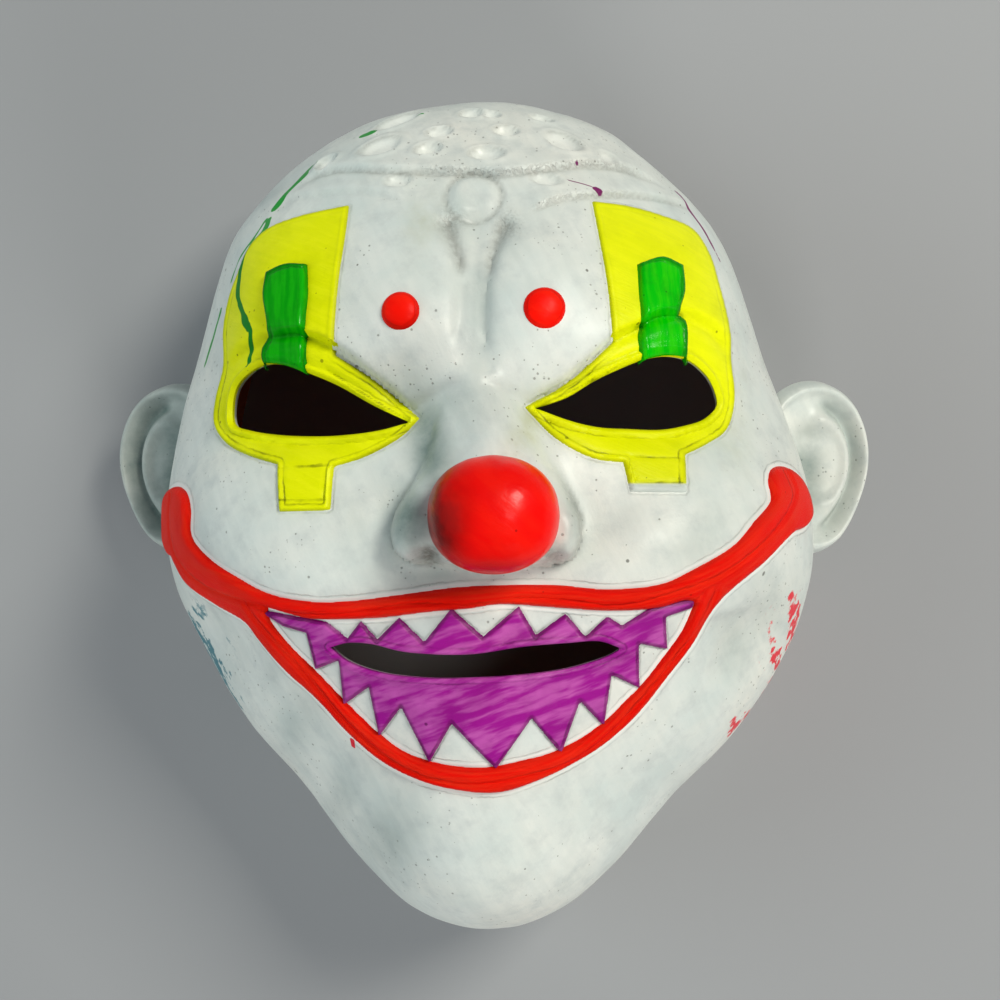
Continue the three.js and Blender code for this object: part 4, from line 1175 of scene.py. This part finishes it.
# edgeOf gives the gap to the sheet's outline and the nearest point on it
def paintSheet(name, outline, edgeOf, look, shape=None, holeLine=None, rounding=1.0):
    spacing = look["spacing"]
    low, high = outline.min(0) - sheet["margin"], outline.max(0) + sheet["margin"]
    across, along = [int(math.ceil(size / spacing)) for size in high - low]
    piece = flatGrid(name, across, along)
    grid = readPoints(piece)
    x = low[0] + (grid[:, 0] + 1) / 2 * (high - low)[0]
    y = low[1] + (grid[:, 1] + 1) / 2 * (high - low)[1]
    gap, nearX, nearY = edgeOf(x, y)
    close = np.abs(gap) < 0.45 * spacing
    x, y = np.where(close, nearX, x), np.where(close, nearY, y)
    corners = np.empty(len(piece.data.polygons) * 4, int)
    piece.data.polygons.foreach_get("vertices", corners)
    corners = corners.reshape(-1, 4)
    doomed = (gap > look.get("skirt", sheet["skirt"]))[corners].all(axis=1)
    if holeLine is not None:
        inHole = outlineGap(holeLine, x[corners].mean(axis=1), y[corners].mean(axis=1))[0] < 0
        order = np.arange(len(x))
        atHole = np.isin(order, corners[inHole]) & np.isin(order, corners[~inHole])
        _, holeX, holeY = outlineGap(holeLine, x, y)
        x, y = np.where(atHole, holeX, x), np.where(atHole, holeY, y)
        besideHole = np.abs(outlineGap(holeLine, x, y)[0]) < 1.2
        doomed |= inHole | ((gap > 0.3) & besideHole)[corners].any(axis=1)
    writePoints(piece, np.column_stack([x, y, 0 * x]))
    deleteFaces(piece, doomed)
    if holeLine is not None:
        lowerHoleEdge(piece, holeLine)
    x, y, drop = facePlan(piece)
    gap = edgeOf(x, y)[0]
    holeGap = np.full(x.shape, farAway)
    if holeLine is not None:
        holeGap = np.maximum(outlineGap(holeLine, x, y)[0], 0)
    point, normal = skinOver(x, y)
    share = (sheet["diveFrom"] - gap) / rounding
    height = look["rise"] * np.sqrt(1 - (1 - np.clip(share, 0, 1)) ** 2)
    height -= np.clip((gap - sheet["diveFrom"]) * sheet["diveSlope"], 0, sheet["deepest"])
    height -= sheet["sag"] * np.clip(1 - holeGap / sheet["sagWidth"], 0, 1) ** 2
    if shape is not None:
        height += shape(x, y, gap, holeGap) * np.clip(share, 0, 1)
    final = point + normal * height[:, None]
    final[:, 2] += drop
    writePoints(piece, final)
    applied(piece, "SOLIDIFY", thickness=sheet["thickness"] / 1000, offset=-1)
    return piece


# The open edge round a hole pulled straight down as a thin wall
def lowerHoleEdge(piece, holeLine):
    mesh = piece.data
    x, y, _ = facePlan(piece)
    onLine = np.abs(outlineGap(holeLine, x, y)[0]) < 0.004
    used = np.empty(len(mesh.loops), int)
    mesh.loops.foreach_get("edge_index", used)
    ends = np.empty(len(mesh.edges) * 2, int)
    mesh.edges.foreach_get("vertices", ends)
    ends = ends.reshape(-1, 2)
    chosen = (np.bincount(used, minlength=len(ends)) == 1) & onLine[ends].all(axis=1)
    bpy.context.tool_settings.mesh_select_mode = (False, True, False)
    bpy.ops.object.mode_set(mode="EDIT")
    bpy.ops.mesh.select_all(action="DESELECT")
    bpy.ops.object.mode_set(mode="OBJECT")
    mesh.edges.foreach_set("select", chosen)
    mesh.vertices.foreach_set("select", np.isin(np.arange(len(x)), ends[chosen]))
    bpy.ops.object.mode_set(mode="EDIT")
    drop = holes["drop"] / 1000
    bpy.ops.mesh.extrude_region_move(TRANSFORM_OT_translate={"value": (0, 0, -drop)})
    bpy.ops.object.mode_set(mode="OBJECT")


# The edgeOf of a sheet that fills a plain outline
def plainEdge(outline):
    def edgeOf(x, y):
        return outlineGap(outline, x, y)

    return edgeOf


def markSheet(piece, edgeOf, holeLine=None):
    x, y, z = facePlan(piece)
    mark(piece, "edgeGap", edgeOf(x, y)[0])
    mark(piece, "soilAndShade", faceDetail(x, y)[1])
    if holeLine is not None:
        mark(piece, "holeGap", outlineGap(holeLine, x, y)[0])
    return x, y, z


# Yellow patches round the eyes
patch = {
    "rise": 0.9, "spacing": 0.52, "roughness": 0.42, "coat": 0.0, "shine": 0.14,
    "stroke": (60.0, 520.0), "light": 0.4, "patches": 90.0, "shade": 0.35, "dots": 0.3,
    "border": 0.35, "bump": 0.0001, "soilAndShade": 0.6,
    "tones": {"base": (230, 236, 0), "light": (244, 246, 20), "deep": (188, 196, 0),
              "dark": (116, 120, 6), "ink": (66, 70, 10)},
    # attribute, place, width and strength of the drawn lines
    "lines": [("edgeGap", -1.5, 0.36, 0.75), ("holeGap", 2.1, 0.35, 0.35),
              ("lidLine", 0.0, 0.4, 0.7)],
    "greenRun": (10, 128, 30), "bare": (206, 214, 208),
    "lidLines": {
        "left": [[(-37, 36.2), (-30, 31.4), (-23, 27.2), (-17, 23.6)],
                 [(-48.6, 11.6), (-42, 11.9), (-35.6, 12.2)],
                 [(-48, 3.6), (-42, 3.4), (-36, 3.8)]],
        "right": [[(37, 37.6), (30, 33.6), (23, 30), (16.6, 27.2)],
                  [(38, 14.4), (44, 14.1), (51, 14)],
                  [(39, 7.8), (45, 7.6), (51, 7.8)]],
    },
}


def lidGap(side, x, y):
    gaps = [np.abs(lineGap(smoothLine(line), x, y)[0]) for line in patch["lidLines"][side]]
    return np.minimum.reduce(gaps)


# The inner line of the patches shows round the eye and on the outer side, hardly at the top
def inkShare(side, x, y):
    outerSide = ease(np.abs(x), 60, 65) * (1 if side == "left" else 0.3)
    return 1 - 0.9 * ease(y, 33, 40) * (1 - outerSide * ease(-y, -62, -54))


def buildPatch(name, side, holeLine, cadNode):
    outline = outlines[side + "Patch"]
    edgeOf = plainEdge(outline)

    def shape(x, y, gap, holeGap):
        rim = 0.3 * bell((gap + 0.8) / 0.5) - 0.3 * bell((gap + 1.6) / 0.4)
        rim *= 0.15 + 0.85 * inkShare(side, x, y)
        lid = 0.45 * bell((holeGap - 1.0) / 0.7) - 0.35 * bell((holeGap - 2.2) / 0.5)
        return rim + lid - 0.4 * bell(lidGap(side, x, y) / 0.5)

    piece = paintSheet(name, outline, edgeOf, patch, shape, holeLine, 0.8)
    x, y, z = markSheet(piece, edgeOf, holeLine)
    mark(piece, "inkShare", inkShare(side, x, y))
    mark(piece, "bareStrip", (side == "right") * ease(-y, -7.9, -7.3))
    mark(piece, "lidLine", lidGap(side, x, y))
    mark(piece, "greenRun", runGap("greenRun", x, y, z))
    piece.data.materials.append(yellowPaint)
    finishPiece(piece, [cadNode])


yellowPaint = colourPaint("yellow paint", patch)
buildPatch("leftEyePatch", "left", leftEyeLine, "eye_patch_left")
buildPatch("rightEyePatch", "right", rightEyeLine, "eye_patch_right")


# Green bars over the brows
bar = {
    "rise": 2.9, "spacing": 0.4, "skirt": 0.7, "roughness": 0.2, "coat": 0.1, "shine": 0.14,
    "stroke": (60.0, 700.0), "light": 0.35, "patches": 120.0, "shade": 0.5, "dots": 0.08,
    "border": 0.6, "bump": 0.0001, "soilAndShade": 0.6,
    # the tones here are the darker copy used on the left bar, partly painted shade for the side
    # away from the key light
    "tones": {"base": (0, 154, 4), "light": (36, 204, 14), "deep": (0, 112, 3), "dark": (2, 66, 8),
              "ink": (4, 44, 8)},
    "lines": [("edgeGap", -0.7, 0.4, 0.5)],
}


def buildBar(name, side, holeLine, cadNode, paint):
    outline = outlines[side + "Bar"]
    edgeOf = plainEdge(outline)

    def shape(x, y, gap, holeGap):
        return 0.25 * bell((gap + 0.9) / 0.5) + 0.15 * lumps(x, y, 5, 6)

    piece = paintSheet(name, outline, edgeOf, bar, shape, widened(holeLine, -0.5), 1.5)
    markSheet(piece, edgeOf)
    piece.data.materials.append(paint)
    finishPiece(piece, [cadNode])


# Lit and shaded copies of one green, partly the paint's own streaks and partly painted light and
# shade: the right bar's copy is brighter and more streaked, the left bar's darker
litStreakedBar = {**bar, "light": 0.45,
            "tones": {**bar["tones"], "base": (0, 190, 2), "light": (60, 214, 4)}}
shadedGreenPaint = colourPaint("shaded green", bar, turn=1.5)
litStreakedGreenPaint = colourPaint("lit streaked green", litStreakedBar, turn=1.5)
buildBar("leftBrowBar", "left", leftEyeLine, "brow_bar_left", shadedGreenPaint)
buildBar("rightBrowBar", "right", rightEyeLine, "brow_bar_right", litStreakedGreenPaint)


# Red lips
lips = {
    "rise": 1.8, "spacing": 0.5, "roughness": 0.36, "coat": 0.0, "shine": 0.06,
    "stroke": (0.07, 1.5), "light": 0.7, "patches": 110.0, "shade": 0.1, "dots": 0.12,
    "border": 0.2, "bump": 0.0002, "soilAndShade": 0.2,
    "tones": {"base": (255, 20, 6), "light": (255, 50, 24), "deep": (226, 12, 4),
              "dark": (160, 8, 5), "ink": (110, 6, 4)},
    "lines": [("strokeLine", 0.0, 0.35, 0.4)],
}


def strokeField(x, y):
    upper, upperAlong = lineGap(strokeLines["upperStroke"], x, y)
    lower, lowerAlong = lineGap(strokeLines["lowerStroke"], x, y)
    isUpper = np.abs(upper) < np.abs(lower)
    along = np.where(isUpper, 210 * upperAlong, 300 + 170 * lowerAlong)  # about millimetres
    return np.where(isUpper, upper, lower), along


# Distance to the wavering line that runs along the middle of a stroke
def middleGap(across, along):
    return across - 0.5 * lumps(along, along * 0, 18)


def lipShape(x, y, gap, holeGap):
    return -0.5 * bell(middleGap(*strokeField(x, y)) / 0.5) + 0.12 * lumps(x, y, 4, 2)


lipPiece = paintSheet("redLips", outlines["lipsOuter"], lipsEdge, lips, lipShape, rounding=1.9)
x, y, z = markSheet(lipPiece, lipsEdge)
across, along = strokeField(x, y)
mark(lipPiece, "strokeAcross", across)
mark(lipPiece, "strokeAlong", along)
mark(lipPiece, "strokeLine", middleGap(across, along))
redPaint = colourPaint("red paint", lips, ("strokeAlong", "strokeAcross"), 0.0)
lipPiece.data.materials.append(redPaint)
finishPiece(lipPiece, ["lips"])


# Purple panel between the teeth
panel = {
    "rise": 1.0, "spacing": 0.5, "roughness": 0.34, "coat": 0.06, "shine": 0.15,
    "stroke": (85.0, 520.0), "light": 0.75, "patches": 80.0, "shade": 0.45, "dots": 0.12,
    "border": 0.6, "bump": 0.00012, "soilAndShade": 0.4,
    "tones": {"base": (158, 22, 142), "light": (200, 96, 180), "deep": (120, 14, 106),
              "dark": (76, 8, 68), "ink": (44, 6, 40)},
    "lines": [("edgeGap", -0.5, 0.4, 0.6), ("holeGap", 1.4, 0.4, 0.5)],
}


def panelEdge(x, y):
    gap, nearX, nearY = outlineGap(outlines["panel"], x, y)
    underLips = -(lipsGap(x, y) + 0.6)
    byLips = underLips > gap
    return np.maximum(gap, underLips), np.where(byLips, x, nearX), np.where(byLips, y, nearY)


panelPiece = paintSheet("purplePanel", outlines["panel"], panelEdge, panel, None, slitLine, 0.9)
markSheet(panelPiece, panelEdge, slitLine)
panelPiece.data.materials.append(colourPaint("purple paint", panel, turn=-0.35))
finishPiece(panelPiece, ["mouth_panel"])


# Red dots on the brows
dot = {
    "rise": 1.9, "spacing": 0.3, "roughness": 0.34, "coat": 0.0, "shine": 0.08,
    "stroke": (80.0, 300.0), "light": 0.35, "patches": 200.0, "shade": 0.3, "dots": 0.1,
    "border": 0.35, "bump": 0.00008, "soilAndShade": 0.2,
    "tones": lips["tones"], "lines": [("edgeGap", -0.6, 0.4, 0.35)],
    "left": (-0.192, 0.421, 9.2), "right": (0.187, 0.426, 9.9),  # place in shares, width
}
dotPaint = colourPaint("red dot paint", dot)


def buildDot(name, side, cadNode):
    shareX, shareY, width = dot[side]
    middleX, middleY = shareX * face["halfWidth"], shareY * face["halfLength"]

    def edgeOf(x, y):
        around = np.maximum(np.hypot(x - middleX, y - middleY), 1e-6)
        edge = width / 2 * (1 + 0.03 * lumps(x, y, 6, 3))
        nearX, nearY = (x - middleX) * edge / around, (y - middleY) * edge / around
        return around - edge, middleX + nearX, middleY + nearY

    turns = np.linspace(0, 2 * math.pi, 24)
    ring = np.column_stack([middleX + width / 2 * np.cos(turns),
                            middleY + width / 2 * np.sin(turns)])
    piece = paintSheet(name, ring, edgeOf, dot, rounding=4.2)
    markSheet(piece, edgeOf)
    piece.data.materials.append(dotPaint)
    finishPiece(piece, [cadNode])


buildDot("leftBrowDot", "left", "brow_dot_left")
buildDot("rightBrowDot", "right", "brow_dot_right")


# Red nose ball
ball = {
    "middle": (5.9, 0.2, 125.4), "half": (15.3, 13.6, 13.4),
    "square": 2.2,  # 2 is round, more is fuller at the corners
    "sink": 1.4,  # how deep the underside sits in the skin
    "roughness": 0.3, "coat": 0.1, "shine": 0.16, "stroke": (50.0, 220.0), "light": 0.3,
    "patches": 70.0, "shade": 0.3, "dots": 0.05, "border": 0.0, "bump": 0.00012,
    # the darkening share and the ink tone paint shade on the ball's left and chin side, mottled
    "soilAndShade": 0.85, "crumbs": 36.0, "lines": [],
    "tones": {"base": (240, 6, 1), "light": (255, 36, 14), "deep": (204, 4, 1), "dark": (150, 8, 4),
              "ink": (116, 8, 4)},
}
bpy.ops.mesh.primitive_uv_sphere_add(segments=112, ring_count=72, radius=1)
ballPiece = bpy.context.object
ballPiece.name = "noseBall"
way = readPoints(ballPiece)
wayX, wayY, wayZ = way[:, 0], way[:, 1], way[:, 2]
power = ball["square"]
size = (np.abs(wayX) ** power + np.abs(wayY) ** power + np.abs(wayZ) ** 2) ** (-1 / power)
size *= 1 + 0.012 * lumps(wayX + wayZ, wayY, 0.55) + 0.006 * lumps(wayY, wayX, 0.2)
points = way * size[:, None] * np.array(ball["half"]) + np.array(ball["middle"])
skin, _ = skinOver(points[:, 0], points[:, 1])
points[:, 2] = np.maximum(points[:, 2], skin[:, 2] - ball["sink"])
writePoints(ballPiece, points)
mark(ballPiece, "edgeGap", np.full(len(points), -farAway))
# Painted shade on the ball's left side and on its side towards the chin
leftShade, chinShade = ease(-wayX + 0.3 * wayZ, 0.4, 1.05), ease(-wayY, 0.6, 1.0)
mark(ballPiece, "soilAndShade", 1.5 * leftShade + 0.6 * chinShade)
ballPiece.data.materials.append(colourPaint("red ball paint", ball, turn=0.7))
finishPiece(ballPiece, ["nose_ball"], 180)


# Ears
ear = {
    "middle": (92.3, 13.4), "tilt": 20, "height": 27, "thick": 5.0, "rightWidth": 0.9,
    "sink": 1.4,  # how deep the root sits in the side wall
    # outline round the middle of the ear: angle from straight up, going outwards, and radius
    "reach": [(0, 25.5), (20, 26.6), (38, 26.6), (55, 25.4), (72, 24.2), (90, 23), (108, 22.2),
              (125, 22.4), (142, 24), (158, 26), (180, 26), (210, 20), (240, 17), (270, 16),
              (300, 18), (330, 23), (360, 25.5)],
    # rise, place as a share of the way out, and width of the rolled edge, gutter and inner ridge
    "rolled": (3.4, 0.9, 0.085), "gutter": (-2.6, 0.73, 0.08), "ridge": (2.0, 0.82, 0.2),
    "ridgeOval": (5, 1, 9.5, 15),  # x, y, half width and half height
    # rise, then x, y, half width and half height of the hollows
    "bowl": (-4.2, (-2, -3, 7, 8.5)), "upper": (-1.6, (1, 10, 5, 3.4)),
}


# A rounded ring of the given rise, place and width
def earRing(form, share):
    rise, place, width = ear[form]
    return rise * bell((share - place) / width)


def earHollow(form, px, py):
    rise, place = ear[form]
    return rise * region(px, py, *place)


def earReach(turn):
    table = np.array(ear["reach"])
    edge = np.interp(turn, table[:, 0], table[:, 1])
    before = np.interp(turn - 6, table[:, 0], table[:, 1], period=360)
    after = np.interp(turn + 6, table[:, 0], table[:, 1], period=360)
    for _ in range(3):
        edge = 0.5 * edge + 0.25 * after + 0.25 * before
    return edge


def buildEar(name, side, cadNode):
    bpy.ops.mesh.primitive_uv_sphere_add(segments=128, ring_count=96, radius=1)
    piece = bpy.context.object
    piece.name = name
    way = readPoints(piece)
    out = np.hypot(way[:, 0], way[:, 1])
    turn = np.degrees(np.arctan2(way[:, 0], way[:, 1])) % 360  # from straight up, outwards
    out = np.where(out > 1e-6, out, 0)
    edge = earReach(turn)
    px = out * edge * np.sin(np.radians(turn)) * (ear["rightWidth"] if side > 0 else 1)
    py = out * edge * np.cos(np.radians(turn))
    ovalX, ovalY, ovalWide, ovalTall = ear["ridgeOval"]
    oval = np.hypot((px - ovalX) / ovalWide, (py - ovalY) / ovalTall)
    rolled = earRing("rolled", out)
    gutter = earRing("gutter", out) * ease(px, 2, 9)
    ridge = earRing("ridge", oval) * ease(px, -2, 5)
    bowl, upper = earHollow("bowl", px, py), earHollow("upper", px, py)
    edgeRound = np.sqrt(np.clip(1 - out ** 2, 0, 1))
    front = ear["thick"] * 0.5 * edgeRound
    front += (rolled + gutter + ridge + bowl + upper + 1.0) * ease(edgeRound, 0, 0.35)
    back = -ear["thick"] * edgeRound * (0.8 + 0.4 * (1 - out))
    high = np.where(way[:, 2] >= 0, front, back)
    angle = math.radians(ear["tilt"])
    points = np.column_stack([
        side * (ear["middle"][0] + px * math.cos(angle) + high * math.sin(angle)),
        ear["middle"][1] + py,
        ear["height"] - px * math.sin(angle) + high * math.cos(angle)])
    wallAngle = np.arctan2(points[:, 1], side * 90.0)
    down = np.clip((face["rimHeight"] - points[:, 2]) / face["rimHeight"], 0, 1)
    wall = (reach(wallAngle) - face["rimInset"] * down ** 1.5) * np.abs(np.cos(wallAngle))
    points[:, 0] = side * np.maximum(side * points[:, 0], wall - ear["sink"])
    writePoints(piece, points)
    editAll(piece, bpy.ops.mesh.normals_make_consistent)
    # Painted shade in the ear's hollows, and over the whole left ear, which lies on the side away
    # from the key light
    shadow = np.maximum(-(gutter + bowl + upper) / 4.5, 0) + 0.4 * region(px, py, 0, -4, 8, 14)
    mark(piece, "paintedShade", np.clip(shadow, 0, 1) * 0.7 + (0.55 if side < 0 else 0.1))
    piece.data.materials.append(earPaint)
    finishPiece(piece, [cadNode], 60)


earPaint = whitePaint("white ear paint", False)
buildEar("leftEar", -1, "ear_left")
buildEar("rightEar", 1, "ear_right")


# Floor, lights and camera
studio = {
    "floor": (156, 157, 160), "floorSize": 30.0, "floorRoughness": 0.8,
    "cameraPlace": (23.5, 3.6, 447), "cameraAim": (4.15, 3.6, 60), "lens": 50.4,  # millimetres
    # place and size in metres, power, colour
    "lights": {
        "key": ((0.62, 0.5, 0.92), 0.4, 10.6, (1.0, 0.985, 0.88)),
        "fill": ((-1.1, 0.0, 0.62), 1.0, 7.6, (0.88, 1.0, 0.98)),
        "low": ((0.5, -1.05, 0.55), 0.5, 7.9, (1.0, 0.99, 0.92)),
        "glint": ((0.4, -0.04, 1.0), 0.22, 0.8, (1.0, 0.99, 0.96)),
    },
    "lightAim": (0, 0, 0.06),
    "sky": 0.18, "skyColour": (0.85, 0.88, 1.0, 1.0),
}
bpy.ops.mesh.primitive_plane_add(size=studio["floorSize"])
floor = bpy.context.object
floor.name = "studioFloor"
floorMaterial = bpy.data.materials.new("pale floor")
floorMaterial.use_nodes = True
floorShader = floorMaterial.node_tree.nodes["Principled BSDF"]
floorShader.inputs["Base Color"].default_value = linearColour(*studio["floor"])
floorShader.inputs["Roughness"].default_value = studio["floorRoughness"]
floor.data.materials.append(floorMaterial)

for lightName, (spot, size, power, colour) in studio["lights"].items():
    bpy.ops.object.light_add(type="AREA", location=spot)
    light = bpy.context.object
    light.name = lightName + "Light"
    light.data.size = size
    light.data.energy = power
    light.data.color = colour
    light.visible_glossy = lightName in ("key", "glint")
    light.visible_diffuse = lightName != "glint"
    view = Vector(studio["lightAim"]) - Vector(spot)
    light.rotation_euler = view.to_track_quat("-Z", "Y").to_euler()

world = bpy.data.worlds.new("soft room")
world.use_nodes = True
background = world.node_tree.nodes["Background"]
background.inputs["Color"].default_value = studio["skyColour"]
background.inputs["Strength"].default_value = studio["sky"]
bpy.context.scene.world = world
bpy.context.scene.view_settings.view_transform = "Standard"

camera = bpy.data.objects.new("photoCamera", bpy.data.cameras.new("photoCamera"))
bpy.context.scene.collection.objects.link(camera)
camera.data.lens = studio["lens"]
camera.data.sensor_width = 36
camera.data.clip_start = 0.01
stand = Vector((np.array(studio["cameraPlace"]) + shift) / 1000)
aim = Vector((np.array(studio["cameraAim"]) + shift) / 1000)
ahead = (aim - stand).normalized()
sideways = ahead.cross(Vector((0, 1, 0))).normalized()
upward = sideways.cross(ahead)
turned = Matrix((sideways, upward, -ahead)).transposed().to_4x4()
camera.matrix_world = Matrix.Translation(stand) @ turned
bpy.context.scene.camera = camera
print("camera and lights set")
